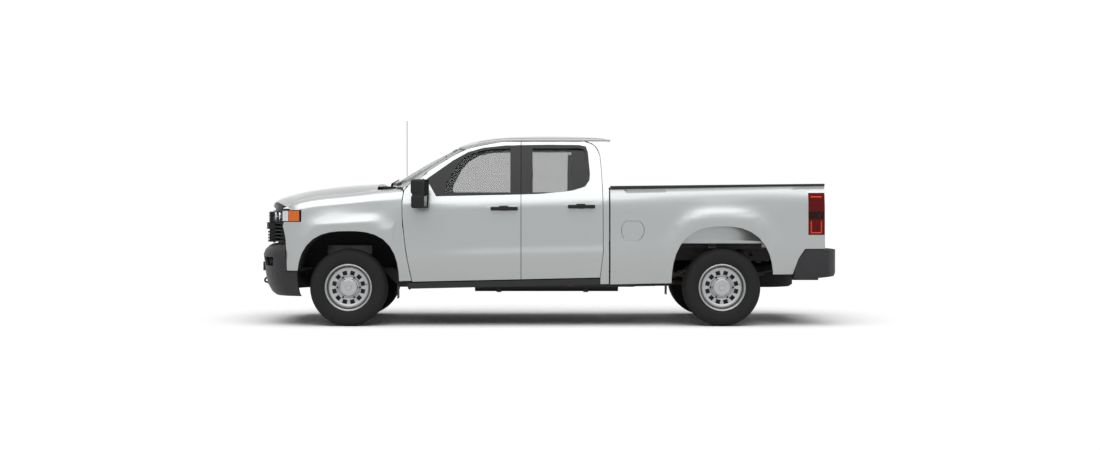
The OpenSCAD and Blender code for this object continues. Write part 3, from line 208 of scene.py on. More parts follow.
def moulded(name, color, roughness=0.55, grain=1400.0, depth=0.25):
    """Grained plastic, rubber or felt: a cloudy tone and fine pores."""
    f = Finish(name, color, roughness=roughness, Specular_IOR_Level=0.22)
    cloud, pores = f.noise(14.0, 4.0), f.noise(grain, 2.0)
    light = tuple(min(1.0, c * 1.4 + 0.003) for c in color)
    f.set("Base Color", f.blend(cloud * 0.6, color, light))
    f.set("Roughness", roughness - 0.08 + cloud * 0.16)
    f.bump(pores, depth, 0.0006)
    return f.material


def rough_metal(name, color, roughness=0.45, metallic=0.9, wear=0.5, rust=(0.16, 0.09, 0.05)):
    """Cast, pressed or painted metal that is worn and rusty in blotches."""
    f = Finish(name, color, roughness=roughness, metallic=metallic)
    blotch, fine = f.noise(9.0, 5.0), f.noise(260.0, 3.0)
    worn = f.wire(f.node("MapRange", Value=blotch, i1=0.52, i2=0.75, i3=0.0, i4=1.0).outputs[0]) * wear
    f.set("Base Color", f.blend(worn, color, rust))
    f.set("Roughness", roughness + fine * 0.2 + worn * 0.2)
    f.set("Metallic", metallic * (1.0 - worn * 0.7))
    f.bump(fine, 0.25, 0.0008)
    return f.material


PAINT = silver_paint()
# The same silver at 0.86, darker as painted shade, for the bed floor and the tailgate ribs inside the load
# bed.
SHADED_BED_PAINT = silver_paint("bed_paint_painted_shade", 0.86)
GRAIN_BLACK = moulded("grained_black", (0.010, 0.010, 0.0105), 0.58)
BUMPER_BLACK = moulded("bumper_black", (0.024, 0.024, 0.026), 0.50, 900.0, 0.3)
SATIN_BLACK = moulded("satin_black", (0.009, 0.009, 0.0095), 0.36, 2200.0, 0.08)
SEAL_RUBBER = moulded("seal_rubber", (0.012, 0.012, 0.012), 0.7, 700.0, 0.2)
LINER_BLACK = moulded("liner_felt", (0.012, 0.012, 0.013), 0.9, 500.0, 0.6)
TRIM_GREY = moulded("interior_grey", (0.075, 0.075, 0.08), 0.62, 1100.0, 0.35)
TRIM_DARK = moulded("interior_dark", (0.022, 0.022, 0.024), 0.6, 1100.0, 0.35)
CARPET = moulded("carpet", (0.03, 0.03, 0.032), 0.95, 350.0, 0.9)
CHASSIS = rough_metal("chassis_paint", (0.026, 0.027, 0.028), 0.5, 0.25, 0.35)
AXLE_IRON = rough_metal("axle_iron", (0.055, 0.053, 0.05), 0.6, 0.5, 0.8)
CAST = rough_metal("cast_alloy", (0.30, 0.30, 0.30), 0.5, 0.85, 0.25, (0.15, 0.13, 0.11))
PIPE_STEEL = rough_metal("exhaust_steel", (0.33, 0.31, 0.29), 0.42, 0.9, 0.6, (0.20, 0.13, 0.08))
DISC_STEEL = rough_metal("brake_disc", (0.045, 0.044, 0.043), 0.5, 0.6, 0.3)
WHEEL_PAINT = rough_metal("wheel_paint", (0.40, 0.405, 0.41), 0.34, 0.65, 0.05, (0.16, 0.15, 0.14))


def polished(name, color, roughness):
    """Bright plating: a breath of haze and wiping marks keep it from being a perfect mirror."""
    f = Finish(name, color, roughness=roughness, metallic=1.0)
    haze, wipe = f.noise(30.0, 4.0), f.noise(160.0, 2.0, (1.0, 0.15, 1.0))
    f.set("Base Color", f.blend(haze * 0.5, color, tuple(c * 0.82 for c in color)))
    f.set("Roughness", roughness + haze * 0.05 + wipe * 0.03)
    return f.material


CHROME = polished("chrome", (0.42, 0.43, 0.44), 0.08)
BRIGHT = polished("reflector", (0.80, 0.81, 0.82), 0.12)
MIRROR = polished("mirror_glass", (0.16, 0.17, 0.18), 0.02)
print("finishes:", len(bpy.data.materials))

# %% [markdown]
# ### Glass and lenses
# Window glass is thin and lightly tinted. What the eye sees is mostly what lies behind it, plus a
# mirror that grows towards a grazing view. A nearly black shader with a low alpha, rising with
# Layer Weight, gives that and lets light into the cab. Lenses are the same idea with more colour.

# %% See-through finishes
def see_through(name, color, low, high):
    """Glass whose cover grows from low, straight on, to high at a grazing view."""
    f = Finish(name, color, roughness=0.03, Specular_IOR_Level=0.5)
    facing = f.wire(f.node("LayerWeight", Blend=0.25).outputs["Facing"])
    f.set("Alpha", low + facing.power(2.0) * (high - low))
    return f.material


GLASS = see_through("window_glass", (0.035, 0.042, 0.042), 0.24, 0.80)
CLEAR_LENS = see_through("clear_lens", (0.10, 0.11, 0.115), 0.07, 0.45)


def moulded_lens(name, color, dark, flutes=420.0):
    """Coloured lens over a fluted reflector: bands of light and dark under a glossy skin."""
    f = Finish(name, color, roughness=0.15, Coat_Weight=0.15, Coat_Roughness=0.02, Specular_IOR_Level=0.2)
    bands = (f.axis(2) * flutes).wave() * 0.5 + 0.5
    f.set("Base Color", f.blend(bands, color, dark))
    f.bump(bands, 0.3, 0.001)
    return f.material


AMBER = moulded_lens("amber_lens", (0.95, 0.22, 0.012), (0.75, 0.12, 0.004))


def tail_lens():
    """Red block above and below, a dark band with the reversing lamp between, split by height."""
    f = Finish("tail_lens", (0.2, 0.005, 0.004), roughness=0.14, Coat_Weight=0.05, Coat_Roughness=0.02,
               Specular_IOR_Level=0.10)
    z = f.axis(2)
    bands = (z * 500.0).wave() * 0.5 + 0.5
    red = f.blend(bands, (0.135, 0.003, 0.003), (0.065, 0.002, 0.002))
    dark = (0.018, 0.003, 0.003)
    middle = (z > 1.075) * (z < 1.150)
    f.set("Base Color", f.blend(middle, red, dark))
    f.bump(bands, 0.25, 0.001)
    return f.material


TAIL = tail_lens()
print("lens finishes ready")

# %% [markdown]
# ## Smooth sheet metal
# The CAD panels are grids of flat facets. A copy of each is merged, its triangles are paired into
# quads, and edges sharper than a set angle are creased. One or two rounds of subdivision then give
# the soft bodywork its curves while every shut line keeps its edge. Parts that are flat in the real
# truck get no subdivision, and moulded ones a bevel. The copy replaces the CAD node and rides the
# same body, so doors still open.

# %% Make a smooth copy of a CAD node
PANEL_SHARP, FLAT_SHARP = 32.0, 14.0


def finish_mesh(mesh, sharp=PANEL_SHARP):
    mesh.polygons.foreach_set("use_smooth", [True] * len(mesh.polygons))
    mesh.set_sharp_from_angle(angle=math.radians(sharp))
    mesh.update()


def baked(obj):
    """The object's mesh with its modifiers in it, and the modifiers gone."""
    depsgraph = bpy.context.evaluated_depsgraph_get()
    mesh = bpy.data.meshes.new_from_object(obj.evaluated_get(depsgraph))
    obj.modifiers.clear()
    obj.data = mesh
    return mesh


def place(obj, body, materials, stands_for=()):
    """Links the object, gives it its finishes and lets it ride its body."""
    obj.data.materials.clear()
    for material in materials:
        obj.data.materials.append(material)
    if obj.name not in bpy.context.scene.collection.objects:
        bpy.context.scene.collection.objects.link(obj)
    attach(obj, body)
    if stands_for:
        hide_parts(*stands_for)
    return obj


def smooth_copy(node, material, levels=1, crease=24.0, bevel=0.0):
    """The CAD node as quads with creased edges, subdivided or bevelled, in its place."""
    source = frame["nodes"][node]
    mesh = source.data.copy()
    bm = bmesh.new()
    bm.from_mesh(mesh)
    bmesh.ops.remove_doubles(bm, verts=bm.verts, dist=2e-5)
    bmesh.ops.dissolve_degenerate(bm, edges=bm.edges, dist=2e-5)
    bmesh.ops.join_triangles(bm, faces=bm.faces, angle_face_threshold=math.radians(12),
                             angle_shape_threshold=math.radians(60), cmp_seam=False, cmp_sharp=False,
                             cmp_uvs=False, cmp_vcols=False, cmp_materials=False)
    layer = bm.edges.layers.float.new("crease_edge")
    for edge in bm.edges:
        angle = math.degrees(edge.calc_face_angle(math.pi)) if len(edge.link_faces) == 2 else 180.0
        edge[layer] = 1.0 if angle > crease else max(0.0, min(1.0, (angle - 4.0) / 30.0))
    bm.to_mesh(mesh)
    bm.free()
    obj = bpy.data.objects.new("skin_" + node, mesh)
    bpy.context.scene.collection.objects.link(obj)
    if bevel:
        b = obj.modifiers.new("edge", "BEVEL")
        b.width, b.segments, b.limit_method, b.angle_limit = bevel, 3, "ANGLE", math.radians(30)
    if levels:
        s = obj.modifiers.new("smooth", "SUBSURF")
        s.levels = s.render_levels = levels
    baked(obj)
    finish_mesh(obj.data, FLAT_SHARP if node in FLAT else PANEL_SHARP)
    return place(obj, BODY_OF[node], [material], (node,))


FLAT = {"tailgate", "bed_floor", "cab_back", "firewall", "frame_rails", "crossmembers", "cab_floor",
        "mud_flaps", "powertrain", "radiator"}
DRESS = {
    PAINT: ["hood", "front_fenders", "roof", "pillars", "cab_back", "bed_sides", "tailgate", "fuel_door",
            "front_door_left", "front_door_right", "rear_door_left", "rear_door_right"],
    GRAIN_BLACK: ["grille", "rail_caps", "mirror_left", "mirror_right", "firewall", "mud_flaps"],
    BUMPER_BLACK: ["front_bumper", "rear_bumper"],
    LINER_BLACK: ["wheel_liners"],
    SATIN_BLACK: ["wipers", "antenna", "fuel_tank"],
    # the bed floor takes the silver made darker, as painted shade
    SHADED_BED_PAINT: ["bed_floor"],
    CHASSIS: ["frame_rails", "crossmembers", "front_suspension", "knuckle_left", "knuckle_right"],
    AXLE_IRON: ["rear_axle", "leaf_springs", "driveshaft"],
    CAST: ["powertrain", "steering_rack", "radiator"],
    PIPE_STEEL: ["exhaust"],
    CARPET: ["cab_floor"],
    TRIM_DARK: ["dashboard", "steering_wheel"],
    GLASS: ["cab_glass", "front_glass_left", "front_glass_right", "rear_glass_left", "rear_glass_right"],
    TAIL: ["tail_lamps"],
}
FINE = {"hood", "front_fenders", "roof", "front_door_left", "front_door_right", "rear_door_left",
        "rear_door_right", "front_bumper"}
PLAIN = FLAT | {"bed_sides", "pillars", "rear_bumper", "rail_caps", "dashboard", "leaf_springs", "antenna"}
BEVEL = {"mirror_left": 0.013, "mirror_right": 0.013, "rear_bumper": 0.006, "dashboard": 0.010}
SKIN = {}
for material, nodes in DRESS.items():
    for node in nodes:
        levels = 2 if node in FINE else 0 if node in PLAIN or node in BEVEL else 1
        SKIN[node] = smooth_copy(node, material, levels=levels, bevel=BEVEL.get(node, 0.0))
print("smooth copies:", len(SKIN), "faces:", sum(len(o.data.polygons) for o in SKIN.values()))

# %% Panes 0.4 mm in from the solids' faces, so that no pane lies in one plane with its frame
PANE_INSET = 0.0004
for name in DRESS[GLASS]:
    pane = SKIN[name].data
    for vertex, normal in zip(pane.vertices, [v.normal.copy() for v in pane.vertices]):
        vertex.co -= normal * PANE_INSET
print("panes set in:", len(DRESS[GLASS]))

# %% [markdown]
# ## Helpers for the trim
# Turned parts come from a lathe, pressed and moulded ones from a rounded block or a bent sheet,
# and pipes from a curve with a round bevel. Whatever repeats is made once and repeated by a
# Geometry Nodes tree with named inputs, then turned into a plain mesh for its body.

# %% Lathe, rounded block, sheet and pipe
def merged(name, bm):
    """The points that meet made one, all faces turned outward, and the mesh as an object."""
    bmesh.ops.remove_doubles(bm, verts=bm.verts, dist=1e-6)
    bmesh.ops.recalc_face_normals(bm, faces=bm.faces)
    mesh = bpy.data.meshes.new(name)
    bm.to_mesh(mesh)
    bm.free()
    return bpy.data.objects.new(name, mesh)


def piece(name, bm, body, material, sharp=35.0, stands_for=()):
    """A finished piece of trim on its body."""
    obj = merged(name, bm)
    finish_mesh(obj.data, sharp)
    return place(obj, body, [material], stands_for)


def lathe(bm, profile, centre, side=1.0, steps=64, closed=True):
    """Turns (distance along the axle, radius) points about the y axis through centre."""
    rings = []
    for i in range(steps):
        a = 2 * math.pi * i / steps
        rings.append([bm.verts.new((centre[0] + r * math.sin(a), centre[1] + side * d,
                                    centre[2] + r * math.cos(a)))
                      for d, r in profile])
    count = len(profile) if closed else len(profile) - 1
    for i in range(steps):
        one, two = rings[i], rings[(i + 1) % steps]
        for k in range(count):
            j = (k + 1) % len(profile)
            bm.faces.new((one[k], two[k], two[j], one[j]))


def block(bm, low, high, radius=0.004, segments=2):
    """A box between two corners, with rounded edges."""
    made = bmesh.ops.create_cube(bm, size=1.0)["verts"]
    for v in made:
        v.co = Vector([mix(low[i], high[i], v.co[i] + 0.5) for i in range(3)])
    edges = list({e for v in made for e in v.link_edges})
    bmesh.ops.bevel(bm, geom=edges, offset=radius, segments=segments, profile=0.6, affect="EDGES",
                    clamp_overlap=True)


def blocks(*shapes):
    """A new mesh of rounded blocks, each given by its two corners and its edge radius."""
    bm = bmesh.new()
    for shape in shapes:
        block(bm, *shape)
    return bm


def sheet_between(bm, outer, inner):
    """A closed shell from two equal grids of points."""
    rows, cols = len(outer), len(outer[0])
    a = [[bm.verts.new(p) for p in row] for row in outer]
    b = [[bm.verts.new(p) for p in row] for row in inner]
    for i in range(rows - 1):
        for j in range(cols - 1):
            bm.faces.new((a[i][j], a[i][j + 1], a[i + 1][j + 1], a[i + 1][j]))
            bm.faces.new((b[i][j], b[i + 1][j], b[i + 1][j + 1], b[i][j + 1]))
    ring = [(0, j) for j in range(cols - 1)] + [(i, cols - 1) for i in range(rows - 1)] \
        + [(rows - 1, j) for j in range(cols - 1, 0, -1)] + [(i, 0) for i in range(rows - 1, 0, -1)]
    for k, (i, j) in enumerate(ring):
        m, n = ring[(k + 1) % len(ring)]
        bm.faces.new((a[i][j], b[i][j], b[m][n], a[m][n]))


def slab(bm, rows, back):
    """A sheet whose face follows rows of points and whose back lies off them by a vector."""
    sheet_between(bm, rows, [[p + Vector(back) for p in row] for row in rows])


def pipe(name, points, radius, body, material, smooth=True, sides=4):
    """A round bar along points, bent in curves or straight from point to point."""
    data = bpy.data.curves.new(name, "CURVE")
    data.dimensions, data.bevel_depth, data.bevel_resolution, data.use_fill_caps = "3D", radius, sides, True
    spline = data.splines.new("BEZIER" if smooth else "POLY")
    if smooth:
        spline.bezier_points.add(len(points) - 1)
        for knot, p in zip(spline.bezier_points, points):
            knot.co, knot.handle_left_type, knot.handle_right_type = p, "AUTO", "AUTO"
    else:
        spline.points.add(len(points) - 1)
        for knot, p in zip(spline.points, points):
            knot.co = (*p, 1.0)
    obj = bpy.data.objects.new(name + "_path", data)
    bpy.context.scene.collection.objects.link(obj)
    depsgraph = bpy.context.evaluated_depsgraph_get()
    mesh = bpy.data.meshes.new_from_object(obj.evaluated_get(depsgraph))
    bpy.data.objects.remove(obj)
    mesh.name = name
    finish_mesh(mesh, 50)
    return place(bpy.data.objects.new(name, mesh), body, [material])


# %% Repeat a part with Geometry Nodes
def node_tree(name, inputs, kinds, links):
    """A tree from its named inputs, its nodes by short name (a colon sets the operation), and its
    links as lines of text: from node, its output, to node, its input."""
    tree = bpy.data.node_groups.new(name, "GeometryNodeTree")
    for label, kind in inputs:
        tree.interface.new_socket(label, in_out="INPUT", socket_type="NodeSocket" + kind)
    tree.interface.new_socket("Geometry", in_out="OUTPUT", socket_type="NodeSocketGeometry")
    nodes = {"entry": tree.nodes.new("NodeGroupInput"), "leave": tree.nodes.new("NodeGroupOutput")}
    for key, kind in kinds.items():
        kind, _, operation = kind.partition(":")
        nodes[key] = tree.nodes.new(kind)
        if operation:
            nodes[key].operation = operation
    for line in links:
        source, out, target, slot = [int(w) if w.isdigit() else w.replace("_", " ") for w in line.split()]
        tree.links.new(nodes[source].outputs[out], nodes[target].inputs[slot])
    return tree, nodes


def grown(obj, tree, values, body, material, sharp):
    """The object run through a tree with the named values, and kept as a plain mesh."""
    bpy.context.scene.collection.objects.link(obj)
    modifier = obj.modifiers.new("grow", "NODES")
    modifier.node_group = tree
    for item in tree.interface.items_tree:
        if item.in_out == "INPUT" and item.name != "Geometry":
            modifier[item.identifier] = material if item.name == "Material" else values[item.name]
    baked(obj)
    finish_mesh(obj.data, sharp)
    return place(obj, body, [material])


REPEAT, _ = node_tree(
    "repeat_part",
    [("Geometry", "Geometry"), ("Count", "Int"), ("Start", "Vector"), ("Step", "Vector"),
     ("Turn", "Vector"), ("Material", "Material")],
    {"points": "GeometryNodePoints", "index": "GeometryNodeInputIndex",
     "along": "ShaderNodeVectorMath:SCALE",
     "spin": "ShaderNodeVectorMath:SCALE", "offset": "ShaderNodeVectorMath:ADD",
     "copies": "GeometryNodeInstanceOnPoints", "real": "GeometryNodeRealizeInstances",
     "paint": "GeometryNodeSetMaterial"},
    ["entry Count points Count", "entry Step along 0", "index 0 along Scale", "entry Turn spin 0",
     "index 0 spin Scale", "along 0 offset 0", "entry Start offset 1", "offset 0 points Position",
     "points 0 copies Points", "entry Geometry copies Instance", "spin 0 copies Rotation",
     "copies 0 real 0", "real 0 paint Geometry", "entry Material paint Material", "paint 0 leave 0"])


def repeat(name, bm, body, material, count, start=(0, 0, 0), step=(0, 0, 0), turn=(0, 0, 0)):
    """The part in bm, repeated: copy i stands at start + i * step, turned by i * turn."""
    values = {"Count": count, "Start": start, "Step": step, "Turn": turn}
    return grown(merged(name, bm), REPEAT, values, body, material, 35)


print("helpers ready")

# %% [markdown]
# ## Tyres
# An all-season truck tyre: a plain carcass with a rib round the sidewall, and a tread of five rows
# of blocks. The carcass is turned 7 mm under the CAD's crown, and one pitch of the tread is
# repeated 60 times up to the CAD's own radius, so the truck keeps its height.

# %% Carcass and tread
def rubber():
    f = Finish("tyre_rubber", (0.012, 0.012, 0.0125), roughness=0.75, Specular_IOR_Level=0.2)
    dust, grit = f.noise(7.0, 4.0), f.noise(600.0, 2.0)
    f.set("Base Color", f.blend(dust * 0.7, (0.0095, 0.0095, 0.010), (0.021, 0.020, 0.019)))
    f.set("Roughness", 0.66 + dust * 0.2)
    f.bump(grit, 0.25, 0.0005)
    return f.material


RUBBER = rubber()
CROWN = [(0.0, TYRE_R), (0.0675, TYRE_R), (0.0935, 0.384), (0.1075, 0.376), (0.1185, 0.360)]
SIDE_WALL = [(0.100, RIM_R + 0.0008), (0.112, 0.250), (0.1215, 0.268), (0.1215, 0.2705), (0.1235, 0.272),
             (0.1262, 0.290), (0.1274, 0.306), (0.1268, 0.325), (0.1250, 0.338), (0.1225, 0.340),
             (0.1190, 0.352),
             (0.1075, 0.3665), (0.0935, 0.3765), (0.0675, 0.3805)]
PITCHES = 60


def tread_block(bm, a0, a1, s0, s1, skew):
    """Block from a0 to a1 across and s0 to s1 along the tread, its ends slanted by skew."""
    corners = []
    for a, s in ((a0, s0 + skew * a0), (a1, s0 + skew * a1), (a1, s1 + skew * a1), (a0, s1 + skew * a0)):
        corners.append((a, s / TYRE_R))
    top, foot = [], []
    for a, t in corners:
        r = lookup(abs(a), CROWN)
        top.append(bm.verts.new((r * math.sin(t), a * 0.985, r * math.cos(t))))
        foot.append(bm.verts.new(((r - 0.012) * math.sin(t * 1.04), a, (r - 0.012) * math.cos(t * 1.04))))
    bm.faces.new(top)
    bm.faces.new(foot[::-1])
    for i in range(4):
        j = (i + 1) % 4
        bm.faces.new((top[i], foot[i], foot[j], top[j]))


def tread_pitch():
    bm = bmesh.new()
    pitch = 2 * math.pi * TYRE_R / PITCHES
    for sign in (-1, 1):
        tread_block(bm, sign * 0.082, sign * 0.1165, -0.46 * pitch, -0.02 * pitch, 0.05)
        tread_block(bm, sign * 0.082, sign * 0.1165, 0.06 * pitch, 0.40 * pitch, 0.05)
        tread_block(bm, sign * 0.034, sign * 0.074, -0.44 * pitch, -0.03 * pitch, 0.22 * sign)
        tread_block(bm, sign * 0.034, sign * 0.074, 0.05 * pitch, 0.44 * pitch, 0.22 * sign)
    tread_block(bm, -0.026, 0.026, -0.45 * pitch, 0.42 * pitch, 0.35)
    return bm


def tyre(name, centre, body, stands_for):
    bm = bmesh.new()
    profile = SIDE_WALL + [(-a, r) for a, r in reversed(SIDE_WALL)]
    lathe(bm, profile, centre, steps=96)
    piece("carcass_" + name, bm, body, RUBBER, stands_for=stands_for)
    repeat("tread_" + name, tread_pitch(), body, RUBBER, PITCHES, start=centre,
           turn=(0, 2 * math.pi / PITCHES, 0))


for corner, (x, side) in CORNERS.items():
    tyre(corner, (x, side * WHEEL_Y, WHEEL_Z), "wheel_" + corner, ("tyre_" + corner,))
print("tyres:", PITCHES, "pitches each")

# %% [markdown]
# ## Wheels
# Steel wheels in silver-grey with twelve windows and a bright pressed centre cap. The CAD rim has
# the windows and the brake disc in one node, so the faces near the disc get their own steel.
# The cap is turned as a dome with a step and held by six clips, and each rim has its valve.

# %% Rims, caps and valves
DISC_OUT, DISC_R = 0.0425, 0.162
for corner, (x, side) in CORNERS.items():
    node, body = "rim_" + corner, "wheel_" + corner
    rim = smooth_copy(node, WHEEL_PAINT, levels=1, crease=30)
    rim.data.materials.append(DISC_STEEL)
    for face in rim.data.polygons:
        out = side * face.center.y - WHEEL_Y
        if out < DISC_OUT and math.hypot(face.center.x - x, face.center.z - WHEEL_Z) < DISC_R:
            face.material_index = 1
    centre = (x, side * WHEEL_Y, WHEEL_Z)
    bm = bmesh.new()
    lathe(bm, [(0.060, 0.087), (0.062, 0.0905), (0.074, 0.0905), (0.081, 0.086), (0.083, 0.078),
               (0.087, 0.060),
               (0.0895, 0.040), (0.0895, 0.034), (0.0935, 0.031), (0.0955, 0.020), (0.096, 0.0005),
               (0.070, 0.0005)],
          centre, side, steps=72)
    piece("cap_" + corner, bm, body, CHROME)
    bm = bmesh.new()
    block(bm, (0.1045, -0.0085, -0.0085), (0.1215, 0.0085, 0.0085), 0.003)
    for v in bm.verts:
        v.co = Vector((v.co.x, side * (v.co.y + 0.068), v.co.z))
    repeat("cap_clips_" + corner, bm, body, SATIN_BLACK, 6, start=centre, turn=(0, math.radians(60), 0))
    pipe("valve_" + corner, [(x + 0.190, centre[1] + side * 0.060, WHEEL_Z + 0.03),
                             (x + 0.178, centre[1] + side * 0.083, WHEEL_Z + 0.03)], 0.004, body,
         SATIN_BLACK, False)
print("wheels done")

# %% [markdown]
# ## Black round the side windows
# The daylight opening is framed in black: the upper door frames, the post between the doors and
# the fixed corner of the rear glass are one dark shape in silver bodywork. Its outline is laid in
# the picture plane, each door is cut along it by planes through the camera's place, and the faces
# inside go black. The inner faces of each door get their trim panel, and the handles are black.

# %% Cut and colour the doors
EYE = Vector((-0.21, -17.8, 1.235))
WINDOW_LINE = [(-1.205, 1.474), (-1.08, 1.562), (-0.933, 1.664), (-0.787, 1.745), (-0.64, 1.786),
               (-0.42, 1.810),
               (-0.23, 1.815), (0.02, 1.818), (0.314, 1.815), (0.387, 1.801), (0.409, 1.745),
               (0.430, 1.525),
               (0.424, 1.459), (0.372, 1.415), (0.24, 1.371), (0.094, 1.342), (-0.053, 1.327),
               (-0.258, 1.320),
               (-0.493, 1.315), (-1.11, 1.302)]
HANDLES = {"front": (-0.428, 1.180), "rear": (0.345, 1.200)}
BLACK, TRIM = 1, 2
WINDOW_FOOT, TRIM_LINE, HANDLE_FACE = 1.25, 0.93, 0.992


def in_picture(co):
    """Where the line from the camera's place to a point crosses the picture plane at y = -1."""
    k = (EYE.y + 1.0) / (EYE.y + abs(co.y))
    return EYE.x + (co.x - EYE.x) * k, EYE.z + (co.z - EYE.z) * k


def inside(x, z, outline):
    """Whether a point lies inside a closed outline, by counting crossings."""
    hit = False
    for (x0, z0), (x1, z1) in zip(outline, outline[1:] + outline[:1]):
        if (z0 > z) != (z1 > z) and x < x0 + (z - z0) * (x1 - x0) / (z1 - z0):
            hit = not hit
    return hit


def colour_door(node, side, handle):
    """Cuts the door along the window line, then gives its faces their finish."""
    obj = SKIN[node]
    bm = bmesh.new()
    bm.from_mesh(obj.data)
    for (x0, z0), (x1, z1) in zip(WINDOW_LINE, WINDOW_LINE[1:] + WINDOW_LINE[:1]):
        a, b, eye = Vector((x0, side, z0)), Vector((x1, side, z1)), Vector((EYE.x, -side * EYE.y, EYE.z))
        normal = (a - eye).cross(b - eye).normalized()
        near = [f for f in bm.faces if f.calc_center_median().z > WINDOW_FOOT - 0.01]
        geometry = list({v for f in near for v in f.verts}) + list({e for f in near for e in f.edges}) + near
        bmesh.ops.bisect_plane(bm, geom=geometry, plane_co=a, plane_no=normal, dist=1e-6)
    for face in bm.faces:
        c, n = face.calc_center_median(), face.normal
        x, z = in_picture(c)
        if c.z > WINDOW_FOOT and inside(x, z, WINDOW_LINE) and (n.y * side > -0.3 or c.z > 1.36):
            face.material_index = BLACK
        elif n.y * side < -0.4 and abs(c.y) < TRIM_LINE:
            face.material_index = TRIM
        elif abs(c.x - handle[0]) < 0.135 and abs(c.z - handle[1]) < 0.024 and abs(c.y) > HANDLE_FACE:
            face.material_index = BLACK
    bm.to_mesh(obj.data)
    bm.free()
    for material in (SATIN_BLACK, TRIM_GREY):
        obj.data.materials.append(material)
    finish_mesh(obj.data)
    return sum(1 for f in obj.data.polygons if f.material_index == BLACK)


for side_name, side in SIDES:
    for end in ("front", "rear"):
        print(end, side_name, "black faces:", colour_door(f"{end}_door_{side_name}", side, HANDLES[end]))

# %% [markdown]
# ## Finding the metal
# Trim has to sit on curved panels. A ray shot at the finished mesh tells where its surface is, so
# each strip, lens and pad is placed on the metal and not by guesswork.

# %% Rays on to a finished panel
from mathutils.bvhtree import BVHTree


class Surface:
    def __init__(self, *nodes):
        self.trees = []
        for node in nodes:
            mesh = SKIN[node].data
            self.trees.append(BVHTree.FromPolygons([v.co.copy() for v in mesh.vertices],
                                                   [list(p.vertices) for p in mesh.polygons]))

    def hit(self, start, direction):
        found = [t.ray_cast(Vector(start), Vector(direction)) for t in self.trees]
        found = [f for f in found if f[0] is not None]
        return min(found, key=lambda f: f[3])[0] if found else None

    def side(self, x, z, sign, lift=0.0):
        p = self.hit((x, sign * 1.6, z), (0, -sign, 0))
        return Vector((x, p.y + sign * lift, z)) if p else None

    def top(self, x, y, lift=0.0):
        p = self.hit((x, y, 3.0), (0, 0, -1))
        return Vector((x, y, p.z + lift)) if p else None


def strip_on(name, rows, thickness, body, material):
    """A thin strip whose outer face follows rows of points, with its back set in by a vector."""
    bm = bmesh.new()
    slab(bm, rows, -Vector(thickness))
    return piece(name, bm, body, material)


print("surfaces ready")

# %% [markdown]
# ## Headlamps
# The lamp wraps round the corner: two reflector bowls look forward through clear plastic, a
# bright panel turns the corner and the amber side lamp ends it. One clear lens covers all, bent
# round the same nose curve as the CAD lamp that it stands for.

# %% Lens, housing, bowls and side lamp
def nose_sheet(bm, angles, z0, z1, depth, half, thick, side, ripples=0.0):
    """A sheet bent round the nose curve between two heights."""
    def row(z, d, h):
        points = []
        for i, a in enumerate(angles):
            p = on_nose(a, d + (ripples if i % 2 else 0.0), h, z)
            points.append(Vector((p.x, side * abs(p.y), z)))
        return points
    sheet_between(bm, [row(z, depth, half) for z in (z0, (z0 + z1) / 2, z1)],
                  [row(z, depth - thick, half - thick) for z in (z0, (z0 + z1) / 2, z1)])


def steps(a, b, n):
    """n equal steps from a to b."""
    return [mix(a, b, i / n) for i in range(n + 1)]


def lathe_forward(bm, profile, centre, steps_round=40):
    """The lathe, with its axle along x: distances run towards the nose."""
    start = len(bm.verts)
    lathe(bm, profile, (0, 0, 0), 1.0, steps_round)
    bm.verts.ensure_lookup_table()
    for v in bm.verts[start:]:
        v.co = Vector((centre[0] - v.co.y, centre[1] + v.co.x, centre[2] + v.co.z))


